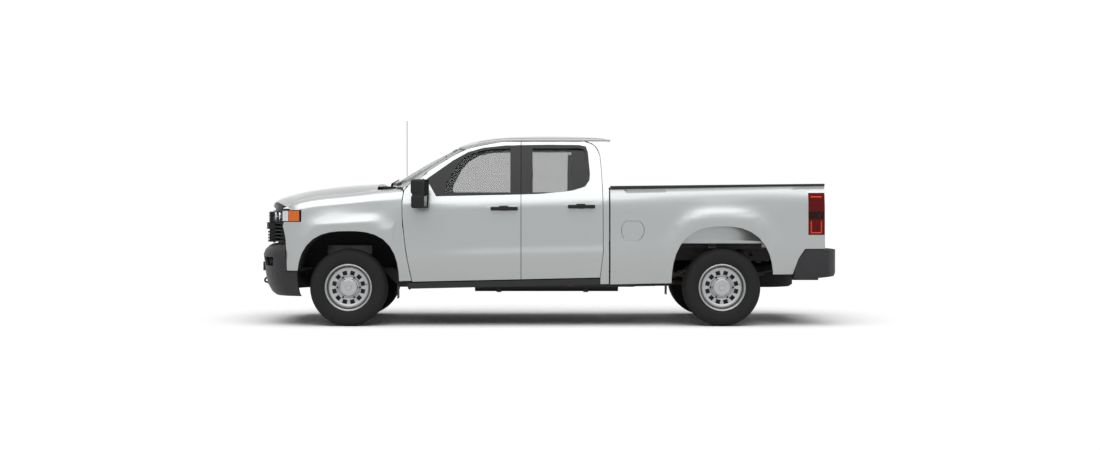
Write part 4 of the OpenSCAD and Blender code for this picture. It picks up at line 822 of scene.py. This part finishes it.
for side_name, side in SIDES:
    bm = bmesh.new()
    nose_sheet(bm, steps(35.3, 79.5, 24), 1.048, 1.162, 0.560, 0.985, 0.003, side)
    piece("lamp_lens_" + side_name, bm, "chassis", CLEAR_LENS,
          stands_for=("headlamps",) if side < 0 else ())
    bm = bmesh.new()
    nose_sheet(bm, steps(37.0, 79.0, 16), 1.046, 1.164, 0.505, 0.935, 0.006, side)
    nose_sheet(bm, steps(36.6, 57.5, 8), 1.046, 1.052, 0.552, 0.978, 0.045, side)
    nose_sheet(bm, steps(36.6, 57.5, 8), 1.158, 1.164, 0.552, 0.978, 0.045, side)
    piece("lamp_housing_" + side_name, bm, "chassis", SATIN_BLACK)
    bm = bmesh.new()
    nose_sheet(bm, steps(58.0, 66.5, 12), 1.054, 1.156, 0.553, 0.978, 0.004, side, 0.002)
    for a, r in ((40.5, 0.046), (50.5, 0.044)):
        p = on_nose(a, 0.545, 0.970, 1.105)
        lathe_forward(bm, [(-0.004, r), (-0.010, r - 0.002), (-0.030, r * 0.62), (-0.036, 0.012),
                           (-0.022, 0.010),
                           (-0.022, 0.0004), (-0.041, 0.0004), (-0.036, r * 0.68), (-0.012, r + 0.002)],
                      (p.x, side * abs(p.y), p.z))
    piece("lamp_reflector_" + side_name, bm, "chassis", BRIGHT)
    bm = bmesh.new()
    nose_sheet(bm, steps(67.3, 79.0, 18), 1.052, 1.158, 0.556, 0.981, 0.010, side, 0.0015)
    piece("side_lamp_" + side_name, bm, "chassis", AMBER)
    # black trim between the lamp and the hood's edge, and the slatted corner under the lamp
    hood_under = Surface("hood", "front_fenders")
    bm = bmesh.new()
    foot, head = [], []
    for a in steps(30.0, 66.0, 14):
        p = on_nose(a, 0.520, 0.945, 1.0)
        up = hood_under.hit((p.x, side * abs(p.y), 1.168), (0, 0, 1))
        foot.append(Vector((p.x, side * abs(p.y), 1.150)))
        head.append(Vector((p.x, side * abs(p.y), min(1.235, (up.z if up else 1.185) - 0.006))))
    slab(bm, [foot, head], (0.006, 0, 0))
    piece("lamp_brow_" + side_name, bm, "chassis", SATIN_BLACK)
    bm = bmesh.new()
    nose_sheet(bm, steps(34.4, 60.0, 10), 0.832, 1.044, 0.500, 0.925, 0.006, side)
    for z in steps(0.845, 1.025, 5):
        nose_sheet(bm, steps(34.4, 60.5, 10), z, z + 0.012, 0.548, 0.972, 0.045, side)
    piece("corner_grille_" + side_name, bm, "chassis", GRAIN_BLACK)
print("headlamps done")

# %% Lower corner of the fender
DOOR_EDGE = [(0.477, 0.102), (0.587, 0.077), (0.778, 0.040), (0.969, 0.018), (1.117, 0.003)]
for side_name, side in SIDES:
    fender, door = Surface("front_fenders"), Surface("front_door_" + side_name)
    rows = []
    for z in steps(0.455, 1.02, 18):
        edge = DOOR_X + lookup(z - RAKE * DOOR_X, DOOR_EDGE) - 0.007
        near, far = fender.side(DOOR_X - 0.006, z, side), door.side(edge + 0.014, z, side)
        if near and far and edge > DOOR_X + 0.003:
            rows.append([Vector((x, mix(near.y, far.y, i / 4) - side * 0.0008, z))
                         for i, x in enumerate(steps(DOOR_X + 0.0005, edge, 4))])
    strip_on("fender_heel_" + side_name, rows, (0, side * 0.012, 0), "chassis", PAINT)
print("fender corners done")

# %% [markdown]
# ## Grille, bumpers and their fittings
# Behind the grille's bars stands a mesh of fine upright fins. The front bumper carries tow hooks
# and fog lamps; the rear one has ribbed step pads, a bare number plate and its two small lamps.

# %% Fins, tow hooks and fog lamps
bumper = Surface("front_bumper")
TOW_Y, FOG_Y, FOG_Z = 0.40, 0.74, 0.645


def nose_of(y):
    """How far forward the bumper's face is, read above its openings."""
    p = bumper.hit((-4.0, y, 0.735), (1, 0, 0))
    return p.x if p else -2.80


bm = bmesh.new()
for i in range(41):
    a = mix(-33.0, 33.0, i / 40)
    p = on_nose(a, 0.574, 1.010, 1.0)
    block(bm, (p.x, p.y - 0.002, 0.842), (p.x + 0.030, p.y + 0.002, 1.146), 0.0008, 1)
piece("grille_fins", bm, "chassis", GRAIN_BLACK)
for side_name, side in SIDES:
    y = side * TOW_Y
    pipe("tow_hook_" + side_name, [(-2.74, y, 0.475), (-2.86, y, 0.47), (-2.905, y, 0.455),
                                   (-2.912, y, 0.430),
                                   (-2.885, y, 0.415), (-2.85, y, 0.420)], 0.010, "chassis", SATIN_BLACK)
    centre = (nose_of(side * FOG_Y) + 0.030, side * FOG_Y, FOG_Z)
    bm = bmesh.new()
    lathe_forward(bm, [(0.0, 0.034), (-0.010, 0.033), (-0.030, 0.014), (-0.034, 0.0005), (-0.040, 0.0005),
                       (-0.036, 0.018), (-0.012, 0.037), (0.0, 0.038)], centre)
    piece("fog_bowl_" + side_name, bm, "chassis", BRIGHT)
    bm = bmesh.new()
    lathe_forward(bm, [(0.004, 0.0005), (0.002, 0.030), (0.0, 0.036), (-0.002, 0.036), (0.0, 0.0005)],
                  centre)
    piece("fog_lens_" + side_name, bm, "chassis", CLEAR_LENS)
    bm = bmesh.new()
    lathe_forward(bm, [(0.006, 0.038), (0.004, 0.044), (-0.040, 0.046), (-0.040, 0.040), (-0.006, 0.038)],
                  centre)
    rows = [[Vector((nose_of(side * y) + 0.050, side * y, z)) for y in steps(0.615, 0.855,
                                                                             8)] for z in (0.585, 0.645,
                                                                                           0.705)]
    slab(bm, rows, (0.004, 0, 0))
    piece("fog_bezel_" + side_name, bm, "chassis", GRAIN_BLACK)

# the lower air inlet has a mesh behind its slot
bm = bmesh.new()
rows = [[Vector((nose_of(y) + 0.075, y, z)) for y in steps(-0.50, 0.50, 20)] for z in (0.385, 0.46, 0.535)]
slab(bm, rows, (0.004, 0, 0))
for z in (0.425, 0.460, 0.495):
    bar = [[Vector((nose_of(y) + d, y, z + h)) for y in steps(-0.47, 0.47, 20)] for d,
           h in ((0.045, -0.004), (0.045, 0.004))]
    slab(bm, bar, (0.030, 0, 0))
piece("inlet_mesh", bm, "chassis", GRAIN_BLACK)
print("front fittings done")

# %% Step pads and plate
for side_name, side in SIDES:
    repeat("step_ribs_" + side_name, blocks(((2.822, -0.004, 0.764), (2.902, 0.004, 0.7705), 0.0018)),
           "chassis", GRAIN_BLACK, 20, start=(0, side * 0.52, 0), step=(0, side * 0.017, 0))
repeat("step_ribs_middle", blocks(((2.822, -0.004, 0.764), (2.905, 0.004, 0.7705), 0.0018)),
       "chassis", GRAIN_BLACK, 25, start=(0, -0.24, 0), step=(0, 0.020, 0))


def plate_finish():
    f = Finish("plate_blank", (0.62, 0.63, 0.63), roughness=0.35)
    f.set("Base Color", f.blend(f.noise(20.0, 3.0), (0.60, 0.61, 0.61), (0.68, 0.69, 0.69)))
    f.bump(f.noise(700.0, 1.0), 0.1, 0.0004)
    return f.material


PLATE = plate_finish()
PLATE_X = 2.9285
piece("plate", blocks(((2.925, -0.153, 0.606), (PLATE_X, 0.153, 0.704), 0.0015)), "chassis", PLATE)
bm = bmesh.new()
for y in (-0.135, 0.135):
    for z in (0.616, 0.694):
        lathe_forward(bm, [(-0.001, 0.0055), (-0.0035, 0.0050), (-0.0045, 0.0004), (0.0, 0.0004)],
                      (PLATE_X - 0.002, y, z), 12)
piece("plate_screws", bm, "chassis", BRIGHT)
bm = bmesh.new()
for y in (-0.10, 0.10):
    block(bm, (2.905, y - 0.025, 0.712), (2.932, y + 0.025, 0.726), 0.004)
piece("plate_lamps", bm, "chassis", CLEAR_LENS)
print("rear bumper done")

# %% [markdown]
# ## Windscreen surround
# A black band is fired on to the glass round its edge, and a black cowl with slots closes the
# gap between the hood and the glass. Both follow the windscreen's own surface.

# %% Fired band and cowl
def windscreen(u, v, t=0.0):
    """A point on the windscreen, u across and v up, lifted off it by t."""
    return Vector((mix(-1.612, -0.935, v) + mix(0.083, 0.034, v) * u * u, u * mix(0.762, 0.644, v),
                   mix(1.421, 1.803, v) - mix(0.002, 0.020, v) * u * u + 0.014 * math.sin(math.pi * v))) \
        + Vector((0.488, 0, -0.873)) * t


bm = bmesh.new()
for u0, u1, v0, v1 in ((-0.995, 0.995, 0.004, 0.075), (-0.995, 0.995, 0.93, 0.996),
                       (-0.995, -0.945, 0.08, 0.925),
                       (0.945, 0.995, 0.08, 0.925)):
    us, vs = steps(u0, u1, 24 if u1 - u0 > 1 else 3), steps(v0, v1, 3 if v1 - v0 < 0.5 else 24)
    sheet_between(bm, [[windscreen(u, v, -0.0004) for v in vs] for u in us],
                  [[windscreen(u, v, 0.0003) for v in vs] for u in us])
piece("fired_band", bm, "chassis", SATIN_BLACK)
bm = bmesh.new()
rows = []
for t in steps(0, 1, 6):
    rows.append([Vector((mix(-1.686, -1.618 + 0.083 * u * u, t), u * 0.775,
                         1.4005 + 0.012 * t - 0.010 * u * u))
                 for u in steps(-1, 1, 32)])
slab(bm, rows, (0, 0, -0.002))
piece("cowl", bm, "chassis", GRAIN_BLACK)
repeat("cowl_slots", blocks(((-1.682, -0.0035, 1.398), (-1.640, 0.0035, 1.4075), 0.0012)),
       "chassis", SATIN_BLACK, 31, start=(0, -0.54, 0), step=(0, 0.036, 0))
print("windscreen surround done")

# %% [markdown]
# ## Roof, tail and load bed
# Two dark mouldings hide the roof's welded joints, a high brake lamp sits over the rear window.
# The tailgate gets its cap, handle, camera and ribs; the bed gets tie-down loops and the bolts
# that hold it to the frame.

# %% Roof mouldings and high brake lamp
roof = Surface("roof")
for side_name, side in SIDES:
    rows = []
    for dy in (-0.006, 0.0, 0.006):
        row = [roof.top(x, side * 0.585 + dy, 0.0015) for x in steps(-0.70, 0.60, 30)]
        rows.append([p for p in row if p is not None])
    strip_on("roof_moulding_" + side_name, rows, (0, 0, 0.004), "chassis", SEAL_RUBBER)
piece("high_brake_lamp", blocks(((0.606, -0.17, 1.806), (0.632, 0.17, 1.834), 0.006)), "chassis", TAIL)

# %% Tailgate cap, handle, camera and ribs
bm = bmesh.new()
rows = [[Vector((x, y, z)) for y in steps(-0.772, 0.772, 24)] for x, z in
        ((2.704, 1.4195), (2.706, 1.4235), (2.720, 1.4255), (2.770, 1.4255), (2.796, 1.4225),
         (2.803, 1.414))]
sheet_between(bm, rows, [[Vector((mix(p.x, 2.755, 0.12), p.y, p.z - 0.004)) for p in row] for row in rows])
piece("gate_cap", bm, "tailgate", GRAIN_BLACK)
piece("gate_bezel", blocks(((2.772, -0.155, 1.205), (2.788, 0.155, 1.290), 0.007, 3)),
      "tailgate", GRAIN_BLACK)
piece("gate_handle", blocks(((2.784, -0.115, 1.222), (2.797, 0.115, 1.262), 0.006, 3)),
      "tailgate", SATIN_BLACK)
bm = bmesh.new()
lathe_forward(bm, [(-0.0005, 0.0005), (-0.0005, 0.009), (0.010, 0.011), (0.010, 0.0005)],
              (2.789, 0.0, 1.277), 24)
piece("gate_camera", bm, "tailgate", SATIN_BLACK)
# the ribs inside the tailgate take the silver made darker, as painted shade
repeat("gate_ribs", blocks(((2.6995, -0.012, 0.925), (2.7065, 0.012, 1.290), 0.003)),
       "tailgate", SHADED_BED_PAINT, 9, start=(0, -0.48, 0), step=(0, 0.12, 0))

# %% Tie-downs and bed bolts
TIE_DOWN_Y = 0.904
for side_name, side in SIDES:
    for end, x in (("front", 0.80), ("middle", 1.20), ("rear", 2.50)):
        y = side * TIE_DOWN_Y
        pipe(f"tie_down_{end}_{side_name}", [(x - 0.03, y, 1.20), (x - 0.028, y - side * 0.022, 1.19),
             (x, y - side * 0.030, 1.175), (x + 0.028, y - side * 0.022, 1.19), (x + 0.03, y, 1.20)],
             0.005, "chassis", SATIN_BLACK)
    bm = bmesh.new()
    lathe(bm, [(0.0, 0.0004), (0.0, 0.016), (0.003, 0.0155), (0.006, 0.011), (0.0065, 0.0004)], (0, 0, 0),
          1, 16)
    for v in bm.verts:
        v.co = Vector((v.co.x, v.co.z, v.co.y))
    repeat("bed_bolts_" + side_name, bm, "chassis", BRIGHT, 5, start=(0.80, side * 0.357, 0.8365),
           step=(0.44, 0, 0))
print("tail and bed done")

# %% [markdown]
# ## Tail lamps and mirrors
# The red lens carries a brighter loop that stands a little proud, low in the lamp, and a clear
# reversing lens in the dark band. The mirror glass lies in the housing's rear recess.

# %% Loop, reversing lens and mirror glass
lamps = Surface("tail_lamps")
LOOP = moulded_lens("loop_lens", (0.75, 0.055, 0.02), (0.50, 0.02, 0.01), 260.0)


MIRROR_TURN = math.radians(12)


def on_mirror(x, y, z, side):
    """A point given in the mirror's own axes, which are turned about its upright."""
    c, s = math.cos(MIRROR_TURN), math.sin(MIRROR_TURN)
    return Vector((-1.255 + (x * c + y * s), side * 1.105 - side * (-x * s + y * c), 1.325 + z))


def on_lamp(name, corners, material, side, columns=6, rows_up=10):
    """A raised patch on the lamp between two x and two z values."""
    x0, x1, z0, z1 = corners
    rows = [[lamps.side(x, z, side, 0.003) for x in steps(x0, x1, columns)] for z in steps(z0, z1, rows_up)]
    if all(p is not None for row in rows for p in row):
        strip_on(name, rows, (0, side * 0.006, 0), "chassis", material)


for side_name, side in SIDES:
    on_lamp("loop_front_" + side_name, (2.640, 2.652, 0.945, 1.055), LOOP, side)
    on_lamp("loop_back_" + side_name, (2.742, 2.754, 0.945, 1.055), LOOP, side)
    on_lamp("loop_foot_" + side_name, (2.640, 2.754, 0.932, 0.944), LOOP, side, 10, 3)
    on_lamp("brake_bar_" + side_name, (2.640, 2.754, 1.290, 1.304), LOOP, side, 10, 3)
    on_lamp("reverse_lens_" + side_name, (2.700, 2.757, 1.088, 1.138), CLEAR_LENS, side)
    bm = bmesh.new()
    shape = [(-0.088, -0.122), (0.045, -0.122), (0.068, 0.094), (0.061, 0.126), (-0.073, 0.126),
             (-0.091, 0.092)]
    back, front = [], []
    for y, z in shape:
        for x, ring in ((0.0515, back), (0.0535, front)):
            ring.append(bm.verts.new(on_mirror(x, y, z, side)))
    bm.faces.new(front)
    bm.faces.new(back[::-1])
    for i in range(len(shape)):
        j = (i + 1) % len(shape)
        bm.faces.new((back[i], back[j], front[j], front[i]))
    piece("mirror_glass_" + side_name, bm, "front_door_" + side_name, MIRROR)

# %% Rounded mirror housings, handles and the fixed corner of the rear window
for side_name, side in SIDES:
    body = "front_door_" + side_name
    bm = bmesh.new()
    block(bm, (-0.080, -0.112, -0.004), (0.050, 0.090, 0.146), 0.030, 4)
    block(bm, (-0.076, -0.112, -0.142), (0.050, 0.066, -0.012), 0.028, 4)
    block(bm, (-0.050, -0.090, -0.030), (0.040, 0.050, 0.020), 0.008, 2)
    for v in bm.verts:
        v.co = on_mirror(*v.co, side)
    block(bm, (-1.233, min(side * 0.955, side * 1.065), 1.335),
          (-1.187, max(side * 0.955, side * 1.065), 1.371), 0.008, 3)
    piece("mirror_housing_" + side_name, bm, body, GRAIN_BLACK, stands_for=("mirror_" + side_name,))
    window = Surface("rear_glass_" + side_name)
    rows = []
    for z in steps(1.335, 1.800, 14):
        row = [window.side(x, z, side, 0.0012) for x in steps(0.250, 0.430, 10)]
        row = [p for p in row if p is not None]
        if len(row) > 1:
            first, last = row[0], row[-1]
            rows.append([first.lerp(last, t) for t in steps(0, 1, 6)])
    strip_on("quarter_panel_" + side_name, rows, (0, side * 0.001, 0), "rear_door_" + side_name,
             SATIN_BLACK)
    for end in ("front", "rear"):
        door = f"{end}_door_{side_name}"
        hx, hz = HANDLES[end]
        face = Surface(door).side(hx, hz, side, 0.0).y
        y0, y1 = sorted((face - side * 0.020, face + side * 0.004))
        piece("handle_shell_" + door, blocks(((hx - 0.136, y0, hz - 0.020), (hx + 0.136, y1, hz + 0.018),
                                              0.011, 4),
                                             ((hx - 0.052, y0, hz + 0.004), (hx + 0.040, y1, hz + 0.028),
                                              0.011, 4)),
              door, SATIN_BLACK)
print("lamps, mirrors and handles done")

# %% [markdown]
# ## The cab inside
# Through the tinted glass show the seats, the wheel, the dashboard and the mirror. The seats are
# upholstered: each CAD profile is swept across its width, pulled in towards its ends and pinched
# at the sewn channels, which is how a padded cover looks. They take the place of the CAD blocks.

# %% Upholstery
def cloth():
    f = Finish("seat_cloth", (0.06, 0.06, 0.064), roughness=0.92)
    weft, warp = (f.axis(1) * 2200.0).wave(), (f.axis(2) * 2200.0).wave()
    weave = weft * warp * 0.5 + 0.5
    tone = f.noise(6.0, 4.0)
    f.set("Base Color", f.blend(weave * 0.5 + tone * 0.5, (0.040, 0.040, 0.044), (0.085, 0.085, 0.09)))
    f.bump(weave, 0.35, 0.0008)
    return f.material


CLOTH = cloth()


def rounded_profile(points, rounds=2):
    """Cuts the corners off a closed outline, again and again."""
    for _ in range(rounds):
        cut = []
        for a, b in zip(points, points[1:] + points[:1]):
            cut += [(mix(a[0], b[0], 0.25), mix(a[1], b[1], 0.25)),
                    (mix(a[0], b[0], 0.75), mix(a[1], b[1], 0.75))]
        points = cut
    return points


def upholstered(bm, profile, y0, y1, seams=(), slim=0.10):
    """A padded cover: the profile swept across, slimmer at its ends and at its seams."""
    points = rounded_profile(profile)
    cx = sum(p[0] for p in points) / len(points)
    cz = sum(p[1] for p in points) / len(points)
    stations = sorted({-1.0, -0.97, -0.9, -0.75, 0.75, 0.9, 0.97, 1.0}
                      | {s + d for s in seams for d in (-0.05, 0.0, 0.05)} | {-0.5, -0.25, 0.0, 0.25, 0.5})
    rings = []
    for s in stations:
        pull = 1.0 - slim * abs(s) ** 8 - (0.022 if s in seams else 0.0)
        y = mix(y0, y1, (s + 1) / 2)
        rings.append([bm.verts.new((cx + (x - cx) * pull, y, cz + (z - cz) * pull)) for x, z in points])
    for one, two in zip(rings, rings[1:]):
        for i in range(len(points)):
            j = (i + 1) % len(points)
            bm.faces.new((one[i], one[j], two[j], two[i]))
    bm.faces.new(rings[0][::-1])
    bm.faces.new(rings[-1])


FLOOR_Z = 0.5523
SEAT_X = DOOR_X + 0.640
bm = bmesh.new()
for side in (-1, 1):
    y0, y1 = sorted((side * 0.690, side * 0.240))
    upholstered(bm, [(SEAT_X - 0.015, 0.72), (SEAT_X - 0.018, 0.79), (SEAT_X + 0.02, 0.848),
                     (SEAT_X + 0.20, 0.842),
                     (SEAT_X + 0.43, 0.815), (SEAT_X + 0.47, 0.72)], y0, y1, (-0.55, 0.55))
    upholstered(bm, [(SEAT_X + 0.43, 0.80), (SEAT_X + 0.44, 0.87), (SEAT_X + 0.515, 1.16),
                     (SEAT_X + 0.565, 1.40),
                     (SEAT_X + 0.60, 1.428), (SEAT_X + 0.665, 1.425), (SEAT_X + 0.675, 1.38),
                     (SEAT_X + 0.62, 1.05),
                     (SEAT_X + 0.585, 0.80)], y0, y1, (-0.55, 0.55))
    mid = (y0 + y1) / 2
    upholstered(bm, [(SEAT_X + 0.582, 1.45), (SEAT_X + 0.590, 1.56), (SEAT_X + 0.605, 1.592),
                     (SEAT_X + 0.66, 1.598),
                     (SEAT_X + 0.676, 1.56), (SEAT_X + 0.668, 1.45)], mid - 0.118, mid + 0.118, (), 0.16)
upholstered(bm, [(-0.028, 0.70), (-0.028, 0.79), (0.0, 0.838), (0.20, 0.826), (0.40, 0.81), (0.42, 0.70)],
            -0.758, 0.758, (-0.35, 0.35))
upholstered(bm, [(0.405, 0.80), (0.432, 0.88), (0.468, 1.12), (0.500, 1.385), (0.515, 1.398),
                 (0.555, 1.395),
                 (0.566, 1.10), (0.568, 0.80)], -0.758, 0.758, (-0.35, 0.35))
piece("seat_covers", bm, "chassis", CLOTH, sharp=60, stands_for=("seats",))
bm = bmesh.new()
for side in (-1, 1):
    y0, y1 = sorted((side * 0.67, side * 0.26))
    block(bm, (SEAT_X + 0.03, y0, FLOOR_Z), (SEAT_X + 0.45, y1, 0.735), 0.02, 3)
    for dy in (-0.06, 0.06):
        mid = (y0 + y1) / 2 + dy
        block(bm, (SEAT_X + 0.617, mid - 0.006, 1.40), (SEAT_X + 0.629, mid + 0.006, 1.48), 0.003)
block(bm, (0.0, -0.72, FLOOR_Z), (0.40, 0.72, 0.715), 0.02, 3)
piece("seat_bases", bm, "chassis", TRIM_DARK)
print("seats done")

# %% Console, mirror, screen and vents
piece("console_and_hood", blocks(((-0.93, -0.150, 0.724), (-0.38, 0.150, 0.860), 0.022, 3),
                                 ((-0.60, -0.140, 0.855), (-0.39, 0.140, 0.905), 0.020, 3),
                                 ((-1.285, -0.52, 1.322), (-1.145, -0.28, 1.362), 0.018, 3)),
      "chassis", TRIM_DARK)
piece("inside_mirror", blocks(((-1.055, -0.115, 1.652), (-1.035, 0.115, 1.712), 0.009, 3),
                              ((-1.062, -0.012, 1.675), (-1.050, 0.012, 1.735), 0.004)),
      "chassis", SATIN_BLACK)
piece("mirror_and_screen", blocks(((-1.0345, -0.105, 1.660), (-1.0335, 0.105, 1.704), 0.0004, 1),
                                  ((-1.048, -0.105, 1.215), (-1.043, 0.105, 1.300), 0.002)),
      "chassis", MIRROR)
bm = bmesh.new()
block(bm, (-1.06, -0.055, -0.0025), (-1.042, 0.055, 0.0025), 0.001, 1)
for start, label in (((0, -0.655, 1.225), "left"), ((0, 0.64, 1.225), "right"),
                     ((0, 0.0, 1.315), "middle")):
    part = bm.copy()
    repeat("vent_" + label, part, "chassis", SATIN_BLACK, 5, start=start, step=(0.0, 0.0, 0.011))
bm.free()
for side_name, side in SIDES:
    bm = bmesh.new()
    y0, y1 = sorted((side * 0.838, side * 0.905))
    block(bm, (-0.98, y0, 1.02), (-0.42, y1, 1.075), 0.018, 3)
    piece("arm_rest_" + side_name, bm, "front_door_" + side_name, TRIM_DARK)
print("cab done")

# %% [markdown]
# ## Underneath
# Coil springs sit round the front struts, telescopic dampers stand at the rear axle, and brake
# hoses reach the knuckles. The spring is a spiral swept with a round wire, by a small tree of its
# own, whose inputs are the turns, the radius, the height and the wire's radius.

# %% Coil springs
STRUT_Y = 0.615
COIL, parts = node_tree(
    "coil_spring",
    [("Turns", "Float"), ("Radius", "Float"), ("Height", "Float"), ("Wire", "Float"), ("Place", "Vector"),
     ("Material", "Material")],
    {"spiral": "GeometryNodeCurveSpiral", "ring": "GeometryNodeCurvePrimitiveCircle",
     "sweep": "GeometryNodeCurveToMesh", "move": "GeometryNodeTransform",
     "real": "GeometryNodeRealizeInstances", "paint": "GeometryNodeSetMaterial"},
    ["entry Turns spiral Rotations", "entry Radius spiral Start_Radius", "entry Radius spiral End_Radius",
     "entry Height spiral Height", "entry Wire ring Radius", "spiral 0 sweep Curve",
     "ring 0 sweep Profile_Curve", "sweep 0 move Geometry", "entry Place move Translation",
     "move 0 real 0", "real 0 paint Geometry", "entry Material paint Material", "paint 0 leave 0"])
parts["spiral"].inputs["Resolution"].default_value = 18
parts["ring"].inputs["Resolution"].default_value = 10
parts["sweep"].inputs["Fill Caps"].default_value = True
for side_name, side in SIDES:
    name = "spring_" + side_name
    values = {"Turns": 5.5, "Radius": 0.066, "Height": 0.24, "Wire": 0.0075,
              "Place": (FRONT_AXLE - 0.020, side * STRUT_Y, 0.45)}
    grown(bpy.data.objects.new(name, bpy.data.meshes.new(name)), COIL, values, "chassis", CHASSIS, 60)

# %% Dust shields, bed sills, dampers and brake hoses
for corner, (x, side) in CORNERS.items():
    bm = bmesh.new()
    lathe(bm, [(-0.012, 0.060), (-0.010, 0.170), (0.004, 0.176), (0.004, 0.178), (-0.012, 0.173),
               (-0.014, 0.060)],
          (x, side * WHEEL_Y, WHEEL_Z), side, 48)
    body = "knuckle_" + corner[6:] if corner.startswith("front") else "chassis"
    piece("dust_shield_" + corner, bm, body, CHASSIS)
bm = bmesh.new()
for y in (-0.585, 0.585):
    block(bm, (0.70, y - 0.022, 0.765), (2.62, y + 0.022, 0.829), 0.006)
piece("bed_sills", bm, "chassis", CHASSIS)
for side_name, side in SIDES:
    pipe("damper_rod_" + side_name, [(REAR_AXLE - 0.06, side * 0.40, 0.43),
                                     (REAR_AXLE - 0.16, side * 0.385, 0.70)],
         0.012, "chassis", BRIGHT, False)
    pipe("damper_body_" + side_name, [(REAR_AXLE - 0.06, side * 0.40, 0.40),
                                      (REAR_AXLE - 0.12, side * 0.391, 0.58)],
         0.026, "chassis", SATIN_BLACK, False, 6)
    pipe("brake_hose_" + side_name, [(FRONT_AXLE + 0.12, side * 0.46, 0.56),
                                     (FRONT_AXLE + 0.14, side * 0.56, 0.50),
                                     (FRONT_AXLE + 0.10, side * 0.66, 0.44),
                                     (FRONT_AXLE + 0.06, side * 0.70, 0.46)],
         0.006, "chassis", SEAL_RUBBER)
print("underneath done")

# %% Spare wheel
SPARE_X, SPARE_RIM_R = REAR_AXLE + 0.485, 0.233
spare = smooth_copy("spare_wheel", RUBBER, levels=1, crease=30)
spare.data.materials.append(WHEEL_PAINT)
for face in spare.data.polygons:
    if math.hypot(face.center.x - SPARE_X, face.center.y) < SPARE_RIM_R:
        face.material_index = 1

# %% [markdown]
# ## Floor, light and camera
# The picture shows the truck alone on white. The floor is pale and keeps a soft shadow, the
# world is white to the camera and to reflections and plainer to the light that falls on the
# truck, and light falls as from one wide cloth overhead. The camera stands 16.8 m off at chest height.

# %% Floor and world
def studio():
    mesh = bpy.data.meshes.new("floor")
    mesh.from_pydata([(-60, -60, 0), (60, -60, 0), (60, 60, 0), (-60, 60, 0)], [], [(0, 1, 2, 3)])
    floor = bpy.data.objects.new("floor", mesh)
    bpy.context.scene.collection.objects.link(floor)
    f = Finish("floor_paper", (0.93, 0.93, 0.93), roughness=0.9)
    mesh.materials.append(f.material)
    world = bpy.data.worlds.new("studio_white")
    bpy.context.scene.world = world
    world.use_nodes = True
    tree = world.node_tree
    tree.nodes.clear()
    out = tree.nodes.new("ShaderNodeOutputWorld")
    back = tree.nodes.new("ShaderNodeBackground")
    light = tree.nodes.new("ShaderNodeLightPath")
    seen = Wire(tree, light.outputs["Is Camera Ray"]) + Wire(tree, light.outputs["Is Glossy Ray"]) \
        + Wire(tree, light.outputs["Is Transmission Ray"])
    level = seen._math("MINIMUM", seen, 1.0)
    strength = 0.20 + level * 0.81
    back.inputs["Color"].default_value = (1.0, 1.0, 1.0, 1.0)
    tree.links.new(strength.socket, back.inputs["Strength"])
    tree.links.new(back.outputs[0], out.inputs[0])


def sky_light(name, strength, spread, tilt):
    """Light as from a wide cloth overhead, tilted towards the camera side."""
    lamp = bpy.data.lights.new(name, "SUN")
    lamp.energy, lamp.angle = strength, math.radians(spread)
    obj = bpy.data.objects.new(name, lamp)
    obj.rotation_euler = (math.radians(tilt), 0.0, 0.0)
    bpy.context.scene.collection.objects.link(obj)


studio()
sky_light("overhead_cloth", 3.0, 75.0, 20.0)

# %% Camera
camera_data = bpy.data.cameras.new("camera")
SENSOR, STAND_OFF, FIELD, PICTURE_W = 36.0, 16.8, 11.0, 1100
camera_data.sensor_width = SENSOR
camera_data.lens = SENSOR * STAND_OFF / FIELD
camera_data.shift_x, camera_data.shift_y = 24 / PICTURE_W, -22 / PICTURE_W
camera_data.clip_end = 300.0
camera = bpy.data.objects.new("camera", camera_data)
camera.location, camera.rotation_euler = EYE, (math.radians(90), 0.0, 0.0)
bpy.context.scene.collection.objects.link(camera)
bpy.context.scene.camera = camera
bpy.context.scene.view_settings.view_transform = "Standard"
print("camera ready")
